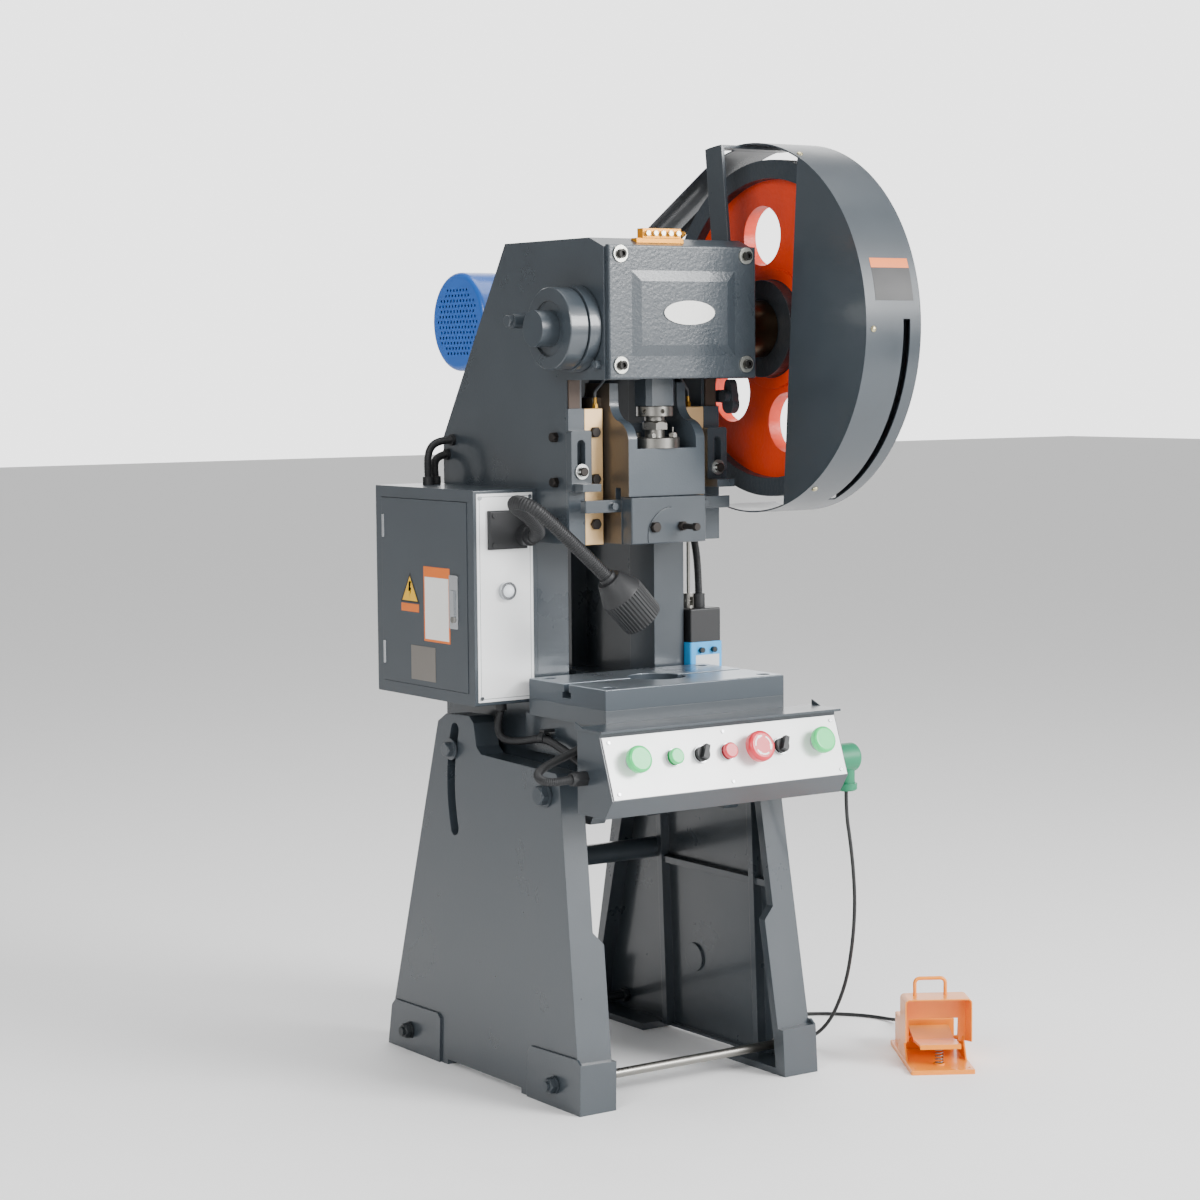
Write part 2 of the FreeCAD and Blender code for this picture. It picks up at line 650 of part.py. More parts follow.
def lock_ring():
    body = ring(V(0, 0, RING_Z), V(0, 0, 1), RING_R, SCREW_R, RING_H)
    for k in range(6):
        a = math.radians(60 * k + 20)
        out = V(math.cos(a), math.sin(a), 0)
        body = body.cut(rod(V(0, 0, RING_Z + RING_H / 2) + out * 22, out, 4, 20))
    return body.makeChamfer(1.2, edges_where(body, lambda e: e.Length > 180))


def ball_cap():
    body = ring(V(0, 0, CAP_Z), V(0, 0, 1), CAP_R, SCREW_R, CAP_H)
    body = body.makeChamfer(1.5, edges_where(body, lambda e: e.Length > 240
                                             and middle(e).z > CAP_Z + 1))
    parts = [body]
    for k in range(4):
        a = math.radians(90 * k + 45)
        seat = V(31 * math.cos(a), 31 * math.sin(a), CAP_Z + CAP_H)
        parts.append(hex_bolt(seat, V(0, 0, 1), 13, 8, 4, 6))
    parts.append(rod_z(26, -16, CAP_Z + CAP_H - 2, CAP_Z + CAP_H + 17, 1.5))
    return join(parts)


# ---------------------------------------------------------------- crank, brake
def crankshaft():
    parts = [rod_x(CRANK_LEFT, -PIN_HALF, 0, CRANK_Z, JOURNAL_R),
             rod_x(PIN_HALF, CRANK_RIGHT, 0, CRANK_Z, JOURNAL_R),
             rod_x(-PIN_HALF, PIN_HALF, 0, CRANK_Z + THROW, PIN_R),
             rod_x(SIDE_X + 6, WHEEL_X - 14, 0, CRANK_Z, SLEEVE_R)]
    return join(parts)


def eccentric_bush():
    low = CRANK_Z + THROW
    bush = rod_x(-PIN_HALF + 2, PIN_HALF - 2, 0, low + THROW, BUSH_R)
    return bush.cut(rod_x(-PIN_HALF, PIN_HALF, 0, low, PIN_R + RUN_FIT))


def brake_drum():
    body = join([rod_x(DRUM_FACE, DRUM_STEP, 0, CRANK_Z, DRUM_R),
                 rod_x(DRUM_STEP, -SIDE_X - 1, 0, CRANK_Z, DRUM_SMALL_R)])
    body = body.cut(rod_x(DRUM_FACE - 1, DRUM_FACE + 4, 0, CRANK_Z, 46))
    body = body.makeChamfer(1.5, edges_where(body, lambda e: e.Length > 400
                                             and middle(e).x < DRUM_FACE + 1))
    return body.cut(rod_x(DRUM_FACE - 5, 0, 0, CRANK_Z, JOURNAL_R))


def brake_band():
    """Split band round the small step of the drum, drawn together at its anchor."""
    inner = DRUM_SMALL_R + BAND_GAP
    start = DRUM_STEP + 2
    width = -SIDE_X - 2 - start
    band = ring(V(start, 0, CRANK_Z), V(1, 0, 0), inner + BAND_T, inner, width)
    lugs = [box(start, start + width, inner + 4, ANCHOR_Y + 8, ANCHOR_Z - 16, ANCHOR_Z - 4),
            box(start, start + width, inner + 4, ANCHOR_Y + 8, ANCHOR_Z + 4, ANCHOR_Z + 16)]
    band = join([band] + lugs)
    band = band.cut(box(start - 1, start + width + 1, inner - 8, ANCHOR_Y + 12,
                        ANCHOR_Z - 4, ANCHOR_Z + 4))
    bore = rod_x(start - 1, start + width + 1, ANCHOR_Y, ANCHOR_Z, 13.2)
    return band.cut(bore)


def brake_bolts():
    """Anchor post beside the drum and the two small bolts of the band."""
    end = -SIDE_X - 73
    post = join([rod_x(end, -SIDE_X, ANCHOR_Y, ANCHOR_Z, 13),
                 hexagon(V(end, ANCHOR_Y, ANCHOR_Z), V(-1, 0, 0), 20, 9)])
    top = hex_bolt(V(-SIDE_X, 62, CRANK_Z + 62), V(-1, 0, 0), 13, 8, 4, 10)
    low = hex_bolt(V(-SIDE_X, -60, CRANK_Z - 60), V(-1, 0, 0), 15, 10, 5, 10)
    return [post, top, low]


# ---------------------------------------------------------------- flywheel and drive
def flywheel():
    rim = ring(V(WHEEL_X, 0, CRANK_Z), V(1, 0, 0), WHEEL_R, RIM_IN, WHEEL_W)
    web_x = WHEEL_X + 18
    web = rod_x(web_x, web_x + WEB_T, 0, CRANK_Z, RIM_IN + 1)
    for k in range(WHEEL_HOLES):
        a = math.radians(WHEEL_HOLE_TURN + 360.0 * k / WHEEL_HOLES)
        y, z = WHEEL_HOLE_PITCH * math.cos(a), WHEEL_HOLE_PITCH * math.sin(a)
        web = web.cut(rod_x(web_x - 1, web_x + WEB_T + 1, y, CRANK_Z + z, WHEEL_HOLE_R))
    boss = rod_x(web_x - 8, web_x + WEB_T + 8, 0, CRANK_Z, WHEEL_BOSS_R)
    hub = rod_x(WHEEL_X - 12, WHEEL_X + WHEEL_W, 0, CRANK_Z, WHEEL_HUB_R)
    wheel = join([rim, web, boss, hub])
    wheel = wheel.cut(rod_x(WHEEL_X - 20, WHEEL_X + WHEEL_W + 5, 0, CRANK_Z,
                            JOURNAL_R + RUN_FIT))
    for x in BELT_XS:
        groove = ring(V(x - BELT_W / 2 - 1, 0, CRANK_Z), V(1, 0, 0), WHEEL_R + 1,
                      WHEEL_R - BELT_H, BELT_W + 2)
        wheel = wheel.cut(groove)
    return wheel


def motor_pulley():
    body = rod_x(BELT_XS[0] - 14, BELT_XS[1] + 14, MOTOR_Y, MOTOR_Z, PULLEY_R)
    for x in BELT_XS:
        body = body.cut(ring(V(x - BELT_W / 2 - 1, MOTOR_Y, MOTOR_Z), V(1, 0, 0),
                             PULLEY_R + 1, PULLEY_R - BELT_H, BELT_W + 2))
    shaft = rod_x(MOTOR_RIGHT + 3, BELT_XS[1] + 20, MOTOR_Y, MOTOR_Z, MOTOR_SHAFT_R)
    return join([body, shaft])


def belt(x):
    """One belt: outer wrap less inner wrap round both pulleys."""
    inner = WHEEL_R - BELT_H + BELT_GAP
    small = PULLEY_R - BELT_H + BELT_GAP
    outside = belt_loop(x, inner + BELT_H, small + BELT_H)
    return outside.cut(belt_loop(x, inner, small))


def belt_loop(x, big, small):
    """Hull of the two pulley circles, as a slab as wide as the belt."""
    dy, dz = MOTOR_Y, MOTOR_Z - CRANK_Z
    span = math.hypot(dy, dz)
    lift = math.atan2(dz, dy)
    open_angle = math.acos((big - small) / span)
    tangents = []
    for sign in (1, -1):
        a = lift + sign * open_angle
        tangents.append((big * math.cos(a), CRANK_Z + big * math.sin(a),
                         MOTOR_Y + small * math.cos(a), MOTOR_Z + small * math.sin(a)))
    (ay, az, by, bz), (dy2, dz2, cy, cz) = tangents
    hull = slab_x([(0, CRANK_Z), (ay, az), (by, bz), (MOTOR_Y, MOTOR_Z), (cy, cz), (dy2, dz2)],
                  x - BELT_W / 2, x + BELT_W / 2)
    return join([hull, rod_x(x - BELT_W / 2, x + BELT_W / 2, 0, CRANK_Z, big),
                 rod_x(x - BELT_W / 2, x + BELT_W / 2, MOTOR_Y, MOTOR_Z, small)])


def motor():
    """Finned foot motor with its terminal box, and its fan cowl."""
    body = rod_x(MOTOR_LEFT, MOTOR_RIGHT, MOTOR_Y, MOTOR_Z, MOTOR_R)
    fins = []
    for k in range(18):
        if k % 18 in (12, 13, 14, 15):
            continue
        fin = box(MOTOR_LEFT + 14, MOTOR_RIGHT - 14, MOTOR_Y + MOTOR_R - 3,
                  MOTOR_Y + MOTOR_R + 7, MOTOR_Z - 1.4, MOTOR_Z + 1.4)
        fins.append(fin.rotate(V(0, MOTOR_Y, MOTOR_Z), V(1, 0, 0), 20.0 * k))
    foot = box(10, 130, MOTOR_Y - 62, MOTOR_Y + 62, MOTOR_Z - MOTOR_FOOT, MOTOR_Z - MOTOR_FOOT + 10)
    sole = MOTOR_Z - MOTOR_FOOT
    legs = [box(10, 130, MOTOR_Y - 58, MOTOR_Y - 40, sole, MOTOR_Z - 30),
            box(10, 130, MOTOR_Y + 40, MOTOR_Y + 58, sole, MOTOR_Z - 30)]
    terminal = box(30, 120, MOTOR_Y - 42, MOTOR_Y + 42, MOTOR_Z + 50, MOTOR_Z + 110)
    nose = rod_x(MOTOR_RIGHT, MOTOR_RIGHT + 2.5, MOTOR_Y, MOTOR_Z, 40)
    body = join([body, foot, terminal, nose] + legs + fins)
    cowl = rod_x(COWL_LEFT, MOTOR_LEFT - 0.2, MOTOR_Y, MOTOR_Z, COWL_R)
    cowl = cowl.makeFillet(9.0, edges_where(cowl, lambda e: middle(e).x < COWL_LEFT + 1
                                            and e.Length > 300))
    bore = rod_x(COWL_LEFT + COWL_WALL, 0, MOTOR_Y, MOTOR_Z, COWL_R - COWL_WALL)
    bore = bore.makeFillet(9.0 - COWL_WALL, edges_where(bore, lambda e: middle(e).x < -1
                                                        and e.Length > 300))
    cowl = cowl.cut(bore)
    holes = []
    for row in range(-6, 7):
        for column in range(-6, 7):
            y = column * 11.0 + (row % 2) * 5.5
            z = row * 9.5
            if math.hypot(y, z) < 68:
                holes.append(rod_x(COWL_LEFT - 1, COWL_LEFT + 4, MOTOR_Y + y, MOTOR_Z + z, 2.8))
    cowl = cowl.cut(Part.makeCompound(holes))
    rear = rod_x(MOTOR_LEFT - 6, MOTOR_LEFT, MOTOR_Y, MOTOR_Z, COWL_R - COWL_WALL)
    return [join([body, rear]), cowl]


def motor_bracket():
    """Slide plate behind the frame, carried on two gussets bolted to the slope."""
    top = MOTOR_Z - MOTOR_FOOT
    plate = box(0, 140, 372, MOTOR_Y + 66, top - 12, top)
    parts = [plate]
    for x in (95, 128):
        parts.append(slab_x([(FRAME_BACK, top - 108), (FRAME_BACK + 6, top - 108),
                             (MOTOR_Y + 40, top - 12), (372, top - 12)], x, x + 8))
    back = box(93, 138, 300, FRAME_BACK + 8, top - 112, top - 6)
    shape = join(parts + [back])
    slope = slab_x([(200, 1476), (FRAME_BACK + 1, KINK_Z + 1.5 - 0.5), (FRAME_BACK, 900),
                    (200, 900)], -200, 200)
    return shape.cut(slope).cut(box(-200, 200, 200, FRAME_BACK, 900, KINK_Z + 1))


def guard_sector(radius, x0, x1, start, end):
    """Pie slice about the crank axis between two angles, as a cutter."""
    steps = 24
    points = [(0, CRANK_Z)]
    for k in range(steps + 1):
        a = math.radians(start + (end - start) * k / steps)
        points.append((radius * math.cos(a), CRANK_Z + radius * math.sin(a)))
    return slab_x(points, x0, x1)


def flywheel_guard():
    """Half-round band with a D-shaped plate on each side and a long slot near its edge."""
    band = ring(V(GUARD_LEFT, 0, CRANK_Z), V(1, 0, 0), GUARD_R, GUARD_R - SHEET,
                GUARD_RIGHT - GUARD_LEFT)
    keep = guard_sector(GUARD_R * 1.6, GUARD_LEFT - 1, GUARD_RIGHT + 1,
                        90 - 8, 270 + 14)
    band = band.common(keep)
    plates = []
    for x0 in (GUARD_LEFT, GUARD_RIGHT - SHEET):
        disc = rod_x(x0, x0 + SHEET, 0, CRANK_Z, GUARD_R - SHEET / 2)
        cutter = box(x0 - 1, x0 + SHEET + 1, -GUARD_R * 2, GUARD_CHORD_Y,
                     CRANK_Z - 2 * GUARD_R, CRANK_Z + 2 * GUARD_R)
        cutter = cutter.rotate(V(0, GUARD_CHORD_Y, CRANK_Z), V(1, 0, 0), GUARD_TILT)
        plates.append(disc.common(cutter))
    body = join([band] + plates)
    slot = ring(V(GUARD_SLOT_X - GUARD_SLOT_W / 2, 0, CRANK_Z), V(1, 0, 0), GUARD_R + 5,
                GUARD_R - 12, GUARD_SLOT_W)
    slot = slot.common(guard_sector(GUARD_R * 1.6, GUARD_LEFT, GUARD_RIGHT - SHEET - 1, 178, 248))
    return body.cut(slot)


def guard_straps():
    """Bent strap from the head to the top of the guard, and the strip over the belts."""
    lean = 18.0
    under = GUARD_R - SHEET
    rise = [(STRAP_Y, HEAD_TOP - 30), (STRAP_Y + STRAP_W, HEAD_TOP - 30),
            (STRAP_Y + STRAP_W, HEAD_TOP), (STRAP_Y + STRAP_W + lean, CRANK_Z + under - 1),
            (STRAP_Y + lean, CRANK_Z + under - 1), (STRAP_Y, HEAD_TOP)]
    upright = slab_x(rise, SIDE_X, SIDE_X + STRAP_T)
    arm = box(SIDE_X, GUARD_RIGHT, STRAP_Y + lean, STRAP_Y + lean + STRAP_W,
              CRANK_Z + under - STRAP_T, CRANK_Z + under)
    hoop = rod_x(0, 400, 0, CRANK_Z, under)
    strap = join([upright, arm]).common(hoop.fuse(box(0, 400, -200, 300, 1000, HEAD_TOP + 60)))
    strip = belt_cover(x0=GUARD_LEFT + 12, x1=GUARD_RIGHT - 12)
    return [strap, strip.cut(strap)]


def belt_cover(x0, x1):
    """Sheet strip that follows the upper run of the belts round the motor pulley."""
    big, small = GUARD_R - SHEET - 0.2, PULLEY_R + 26
    outer = cover_loop(x0, x1, big, small)
    inner = cover_loop(x0, x1, big - 2.0, small - 2.0)
    shell = outer.cut(inner)
    keep = slab_x([(48, 1900), (48, CRANK_Z), (MOTOR_Y, MOTOR_Z - 40), (MOTOR_Y + 200, MOTOR_Z - 40),
                   (MOTOR_Y + 200, 1900)], x0 - 1, x1 + 1)
    foot = box(MOTOR_RIGHT, x0 + 1, MOTOR_Y + 46, MOTOR_Y + 74, MOTOR_Z - 6, MOTOR_Z - 3)
    return join([shell.common(keep), foot])


def cover_loop(x0, x1, big, small):
    dy, dz = MOTOR_Y, MOTOR_Z - CRANK_Z
    span = math.hypot(dy, dz)
    lift = math.atan2(dz, dy)
    a = lift + math.acos((big - small) / span)
    b = lift - math.acos((big - small) / span)
    outline = [(0, CRANK_Z), (big * math.cos(a), CRANK_Z + big * math.sin(a)),
               (MOTOR_Y + small * math.cos(a), MOTOR_Z + small * math.sin(a)),
               (MOTOR_Y, MOTOR_Z),
               (MOTOR_Y + small * math.cos(b), MOTOR_Z + small * math.sin(b)),
               (big * math.cos(b), CRANK_Z + big * math.sin(b))]
    return join([slab_x(outline, x0, x1), rod_x(x0, x1, 0, CRANK_Z, big),
                 rod_x(x0, x1, MOTOR_Y, MOTOR_Z, small)])


# ---------------------------------------------------------------- clutch control
TRIP_Y, TRIP_Z, TRIP_X0, TRIP_X1 = 15.0, 1175.0, SIDE_X + 11.0, SIDE_X + 25.0
ROD_Y = 150.0
ROD_X = SIDE_X + 23.0
SOL_X0, SOL_X1, SOL_Y0, SOL_Y1 = SIDE_X + 2.0, SIDE_X + 73.0, 116.0, 196.0
SOL_TOP = 738.0
SOL_BOTTOM = 640.0
COVER_TOP = 798.0


def trip_lever():
    """Pear-shaped lever of the clutch latch, on its own pivot pin, with a rear arm."""
    pear = join([rod_x(TRIP_X0, TRIP_X1, TRIP_Y, TRIP_Z - 14, 16),
                 slab_x([(TRIP_Y - 15, TRIP_Z - 10), (TRIP_Y + 15, TRIP_Z - 10),
                         (TRIP_Y + 9, TRIP_Z + 22), (TRIP_Y - 9, TRIP_Z + 22)],
                        TRIP_X0, TRIP_X1),
                 rod_x(TRIP_X0, TRIP_X1, TRIP_Y, TRIP_Z + 20, 9)])
    arm = slab_x([(TRIP_Y, TRIP_Z - 12), (ROD_Y + 10, TRIP_Z - 5), (ROD_Y + 10, TRIP_Z + 5),
                  (TRIP_Y, TRIP_Z + 12)], TRIP_X0, TRIP_X0 + 8)
    eye = box(TRIP_X0, ROD_X + 10, ROD_Y - 10, ROD_Y + 10, TRIP_Z - 5, TRIP_Z + 5)
    lever = join([pear, arm, eye])
    lever = lever.cut(rod_z(ROD_X, ROD_Y, TRIP_Z - 20, TRIP_Z + 20, 5))
    return lever.cut(rod_x(TRIP_X0 - 5, TRIP_X1 + 5, TRIP_Y, TRIP_Z, 6 + RUN_FIT))


def trip_pin():
    return join([rod_x(SIDE_X, TRIP_X1 + 2, TRIP_Y, TRIP_Z, 6),
                 rod_x(TRIP_X1 + 0.4, TRIP_X1 + 4, TRIP_Y, TRIP_Z, 9),
                 rod_x(SIDE_X, TRIP_X0 - 0.4, TRIP_Y, TRIP_Z, 10)])


def pull_rod():
    """Rod from the solenoid plunger up to the lever, with its clevis and two stop nuts."""
    parts = [rod_z(ROD_X, ROD_Y, COVER_TOP + 24, TRIP_Z + 22, 3),
             rod_z(ROD_X, ROD_Y, TRIP_Z + 6.6, TRIP_Z + 12, 7),
             rod_z(ROD_X, ROD_Y, TRIP_Z - 12, TRIP_Z - 6.6, 7),
             rod_z(ROD_X, ROD_Y, COVER_TOP - 6, COVER_TOP + 26, 10)]
    body = join(parts)
    fork = box(ROD_X - 4, ROD_X + 4, ROD_Y - 12, ROD_Y + 12, COVER_TOP + 4, COVER_TOP + 20)
    pin = rod_x(ROD_X - 10, ROD_X + 10, ROD_Y, COVER_TOP + 12, 3.5)
    stem = rod_z(ROD_X, ROD_Y, COVER_TOP - 20, COVER_TOP + 1, 7)
    return join([body.cut(fork), pin, stem])


def solenoid_box():
    """Blue solenoid housing bolted to the column, with the black dust cover on it."""
    case = box(SOL_X0, SOL_X1, SOL_Y0, SOL_Y1, SOL_BOTTOM, SOL_TOP)
    case = case.makeFillet(4.0, edges_where(case, lambda e: along(e, V(0, 0, 1), 50)))
    case = join([case, box(SIDE_X, SOL_X0 + 1, 136, 186, 650, 720)])
    cover = box(SOL_X0 + 2, SOL_X1 - 2, SOL_Y0 + 2, SOL_Y1 - 2, SOL_TOP, COVER_TOP)
    cover = cover.makeFillet(3.0, edges_where(cover, lambda e: middle(e).z > SOL_TOP + 1))
    cover = cover.cut(rod_z(ROD_X, ROD_Y, SOL_TOP + 4, COVER_TOP + 5, 11))
    knobs = [rod_y(SOL_X0 + x, SOL_Y0 - 7, SOL_Y0, SOL_TOP - 14, 5) for x in (23, 50)]
    return [join([case] + knobs), cover]


# ---------------------------------------------------------------- legs
def leg():
    """Right-hand leg casting, modelled upright and then leaned in by a degree or two."""
    top_x = LEG_TOP_X
    outline = [(-118, -30), (-112, 62), (-41, 540), (-30, 556), (205, 562), (221, 574),
               (232, 614), (246, 625), (322, 622), (350, 606), (488, 80), (500, -30)]
    plate = slab_x(outline, -LEG_PLATE, 0)
    inner = [(-118 + LEG_RIM, -30), (-112 + LEG_RIM, 62), (-41 + LEG_RIM, 530),
             (-26 + LEG_RIM, 540), (330, 540), (488 - LEG_RIM, 80), (500 - LEG_RIM, -30)]
    rim = slab_x(outline, -FLANGE_LOW_W, 0).cut(slab_x(inner, -FLANGE_LOW_W - 1, 1))
    upper = box(-FLANGE_LOW_W - 1, -FLANGE_W, -200, 600, FLANGE_STEP_Z, 700)
    upper = join([upper, slab_y([(-FLANGE_W, FLANGE_STEP_Z), (-FLANGE_LOW_W - 1, FLANGE_STEP_Z),
                                 (-FLANGE_LOW_W - 1, FLANGE_STEP_Z - 22)], -200, 600)])
    rim = rim.cut(upper)
    rim = rim.cut(box(-FLANGE_LOW_W - 1, -FLANGE_W, 150, 600, 100, 700))
    ribs = [box(-34, -LEG_PLATE + 1, 270, 284, 12, 545), box(-34, -LEG_PLATE + 1, -6, 8, 12, 545),
            box(-30, -LEG_PLATE + 1, -64, 440, 318, 330)]
    foot = slab_x([(-118, -30), (-118, 14), (500, 14), (500, -30)], -FLANGE_LOW_W, 0)
    foot = foot.cut(box(-FLANGE_LOW_W - 1, -LEG_PLATE - 10, 60, 300, -40, 40))
    pads = [slab_x([(-126, -30), (-123, 84), (-112, 92), (28, 88), (36, 78), (38, -30)], 0, 4),
            slab_x([(322, -30), (322, 78), (332, 86), (480, 84), (492, 72), (506, -30)], 0, 4)]
    toe = slab_x([(-126, -30), (-123, 84), (-105, 84), (-105, -30)], -FLANGE_LOW_W, 1)
    heel = slab_x([(506, -30), (492, 72), (480, 76), (480, -30)], -FLANGE_LOW_W, 1)
    mark = rod_x(-LEG_PLATE - 4, -LEG_PLATE + 1, 200, 150, 26)
    boss = rod_x(-(top_x - SIDE_X) + 2, 0, PIVOT_Y, PIVOT_Z, BOSS_R)
    seat = box(-(top_x - SIDE_X) + 2, 0, 262, 340, 410, 606)
    arch = box(-100, 10, 60, 300, -40, 9)
    body = join([plate, rim, foot, toe, heel, mark, boss, seat] + ribs + pads).cut(arch)
    body = body.translate(V(top_x, 0, 0))
    pivot_at = V(top_x, 0, 610)
    body = body.rotate(pivot_at, V(0, 1, 0), -LEG_LEAN)
    body = body.cut(box(0, 400, -400, 800, -200, FLOOR))
    body = body.cut(box(0, SIDE_X + 1.0, -400, 800, 400, 800))
    return body.cut(leg_holes(pivot_at))


def leg_holes(pivot_at):
    """Pivot bore, curved tilt slot, tube and tie-rod holes, all square to the press."""
    cuts = [rod_x(100, 300, PIVOT_Y, PIVOT_Z, PIVOT_R),
            rod_x(150, tube_end(), TUBE_Y, TUBE_Z, TUBE_R),
            rod_x(150, 300, TIE_FRONT_Y, TIE_Z, TIE_R + SLACK),
            rod_x(150, 300, TIE_BACK_Y, TIE_Z, TIE_R + SLACK)]
    arc = ring(V(100, PIVOT_Y, PIVOT_Z), V(1, 0, 0), SLOT_RADIUS + SLOT_HALF,
               SLOT_RADIUS - SLOT_HALF, 200)
    points = [(PIVOT_Y, PIVOT_Z)]
    for k in range(9):
        points.append(slot_point(SLOT_DOWN + (SLOT_UP - SLOT_DOWN) * k / 8, SLOT_RADIUS * 2))
    cuts.append(arc.common(slab_x(points, 100, 300)))
    for angle in (SLOT_DOWN, SLOT_UP):
        y, z = slot_point(angle)
        cuts.append(rod_x(100, 300, y, z, SLOT_HALF))
    return join(cuts)


def leg_outer_x(z):
    """Outer face of the right leg's plate at a height."""
    return LEG_TOP_X + (610 - z) * math.tan(math.radians(LEG_LEAN))


def tube_end():
    """Where the cross tube stops, a blind seat inside the leg's plate."""
    return leg_outer_x(TUBE_Z) - LEG_PLATE + TUBE_SEAT


def cross_tube():
    reach = tube_end()
    return rod_x(-reach, reach, TUBE_Y, TUBE_Z, TUBE_R).cut(
        rod_x(-reach, reach, TUBE_Y, TUBE_Z, TUBE_R - 4))


def tie_rods():
    reach = leg_outer_x(TIE_Z) + 24
    return [rod_x(-reach, reach, y, TIE_Z, TIE_R) for y in (TIE_FRONT_Y, TIE_BACK_Y)]


def leg_fasteners():
    """Nuts and washers of the tie rods, and the two pivot bolts."""
    parts = []
    out = leg_outer_x(TIE_Z) + 4.6
    inside = out - LEG_PLATE - 5.2
    for y in (TIE_FRONT_Y, TIE_BACK_Y):
        nut = join([ring(V(out, y, TIE_Z), V(1, 0, 0), 15, TIE_R, 3),
                    hexagon(V(out + 3, y, TIE_Z), V(1, 0, 0), 24, 12)])
        parts += pair(nut.cut(rod_x(out - 1, out + 30, y, TIE_Z, TIE_R)))
        lock = hexagon(V(inside, y, TIE_Z), V(-1, 0, 0), 24, 11)
        parts += pair(lock.cut(rod_x(inside - 30, inside + 2, y, TIE_Z, TIE_R)))
    seat = V(leg_outer_x(PIVOT_Z) + 0.9, PIVOT_Y, PIVOT_Z)
    shank = seat.x - SIDE_X + WALL_T
    parts += pair(hex_bolt(seat, V(1, 0, 0), 30, 14, PIVOT_R, shank, 21, 3))
    return parts


def slot_bolts():
    """Lock bolts through the curved slots, screwed into the frame."""
    y, z = slot_point(SLOT_AT_REST)
    seat = V(leg_outer_x(z) + 2.0, y, z)
    shank = seat.x - SIDE_X + WALL_T
    return pair(hex_bolt(seat, V(1, 0, 0), 24, 12, SLOT_BOLT_R, shank, 19, 3))


# ---------------------------------------------------------------- cabinet
def cabinet():
    """Folded sheet box on the left side of the frame, open where the door shuts."""
    back = CAB_FRONT + CAB_D
    body = box(CAB_LEFT, -SIDE_X, CAB_FRONT, back, CAB_BOTTOM, CAB_TOP)
    body = body.makeFillet(2.0, edges_where(body, lambda e: along(e, V(1, 0, 0), 50)))
    body = body.cut(box(CAB_LEFT + CAB_WALL, -SIDE_X - CAB_WALL, CAB_FRONT + CAB_WALL,
                        back - CAB_WALL, CAB_BOTTOM + CAB_WALL, CAB_TOP - CAB_WALL))
    m = DOOR_MARGIN
    return body.cut(box(CAB_LEFT - 1, CAB_LEFT + CAB_WALL + 1, CAB_FRONT + m, back - m,
                        CAB_BOTTOM + m, CAB_TOP - m))


def cabinet_door():
    """Inset door with a folded edge, its latch handle and the rear hinge knuckles."""
    gap = 0.8
    y0, y1 = CAB_FRONT + DOOR_MARGIN + gap, CAB_FRONT + CAB_D - DOOR_MARGIN - gap
    z0, z1 = CAB_BOTTOM + DOOR_MARGIN + gap, CAB_TOP - DOOR_MARGIN - gap
    skin = box(CAB_LEFT - 1.0, CAB_LEFT + 1.0, y0, y1, z0, z1)
    lips = box(CAB_LEFT, CAB_LEFT + 14, y0, y1 - 16, z0, z1)
    lips = lips.cut(box(CAB_LEFT - 1, CAB_LEFT + 15, y0 + 1.5, y1, z0 + 1.5, z1 - 1.5))
    latch = box(CAB_LEFT - 4, CAB_LEFT, LATCH_Y - 14, LATCH_Y + 14, LATCH_Z - 46, LATCH_Z + 46)
    latch = latch.makeFillet(3.0, edges_where(latch, lambda e: along(e, V(1, 0, 0), 1)))
    lever = box(CAB_LEFT - 7, CAB_LEFT - 3, LATCH_Y - 5, LATCH_Y + 5, LATCH_Z - 25, LATCH_Z + 20)
    knuckles = [rod_z(CAB_LEFT - 1.0, HINGE_Y, z, z + 40, HINGE_R) for z in (z0 + 30, z1 - 70)]
    return join([skin, lips, latch, lever] + knuckles)


def cabinet_panel():
    """White front plate of the cabinet with its screws and the pilot lamp."""
    t = 1.5
    plate = box(-276, -164, CAB_FRONT - t, CAB_FRONT, CAB_BOTTOM + 6, CAB_TOP - 6)
    parts = [plate]
    for x in (-270, -170):
        for z in (CAB_BOTTOM + 13, CAB_TOP - 13):
            parts.append(rod_y(x, CAB_FRONT - t - 2, CAB_FRONT - t + 0.1, z, 3.5))
    bezel = rod_y(-219, CAB_FRONT - t - 9, CAB_FRONT - t, 850, 15.5)
    lens = Part.makeSphere(11.5, V(-219, CAB_FRONT - t - 5, 850))
    lens = lens.cut(box(-240, -200, CAB_FRONT - t - 5, CAB_FRONT + 30, 830, 880))
    return [join(parts), join([bezel, lens])]


def lamp_base():
    front = CAB_FRONT - 1.5
    plate = box(-255, -179, front - 9, front, 921, 987)
    plate = plate.makeFillet(3.0, edges_where(plate, lambda e: middle(e).y < front - 8))
    boss = join([rod_y(-186, front - 28, front - 8, 944, 18),
                 rod_y(-186, 92, front - 27, 944, NECK_R + 2)])
    screws = [rod_y(x, front - 11, front - 8, z, 4) for x in (-247, -187) for z in (929, 979)]
    return join([plate, boss] + screws)


NECK = [(-186, 92, 944), (-190, 64, 948), (-224, 44, 978), (-264, 34, 999),
        (-276, 10, 1008), (-270, -17, 1004), (-249, -32, 988), (-131, -40, 881)]
NECK_R = 12.0


def lamp_head():
    """Ribbed lamp housing on the end of the neck, aimed at the die."""
    aim = V(70, -5, -75).normalize()
    start = V(*NECK[-1])
    collar = rod(start, aim, NECK_R + 3, 10)
    cone = Part.makeCone(23, 38, 34, start + aim * 8, aim)
    drum = rod(start + aim * 42, aim, 38, 62)
    body = join([collar, cone, drum])
    mouth = rod(start + aim * 82, aim, 34, 40)
    lens = rod(start + aim * 90, aim, 34, 4)
    return [body.cut(mouth), lens]


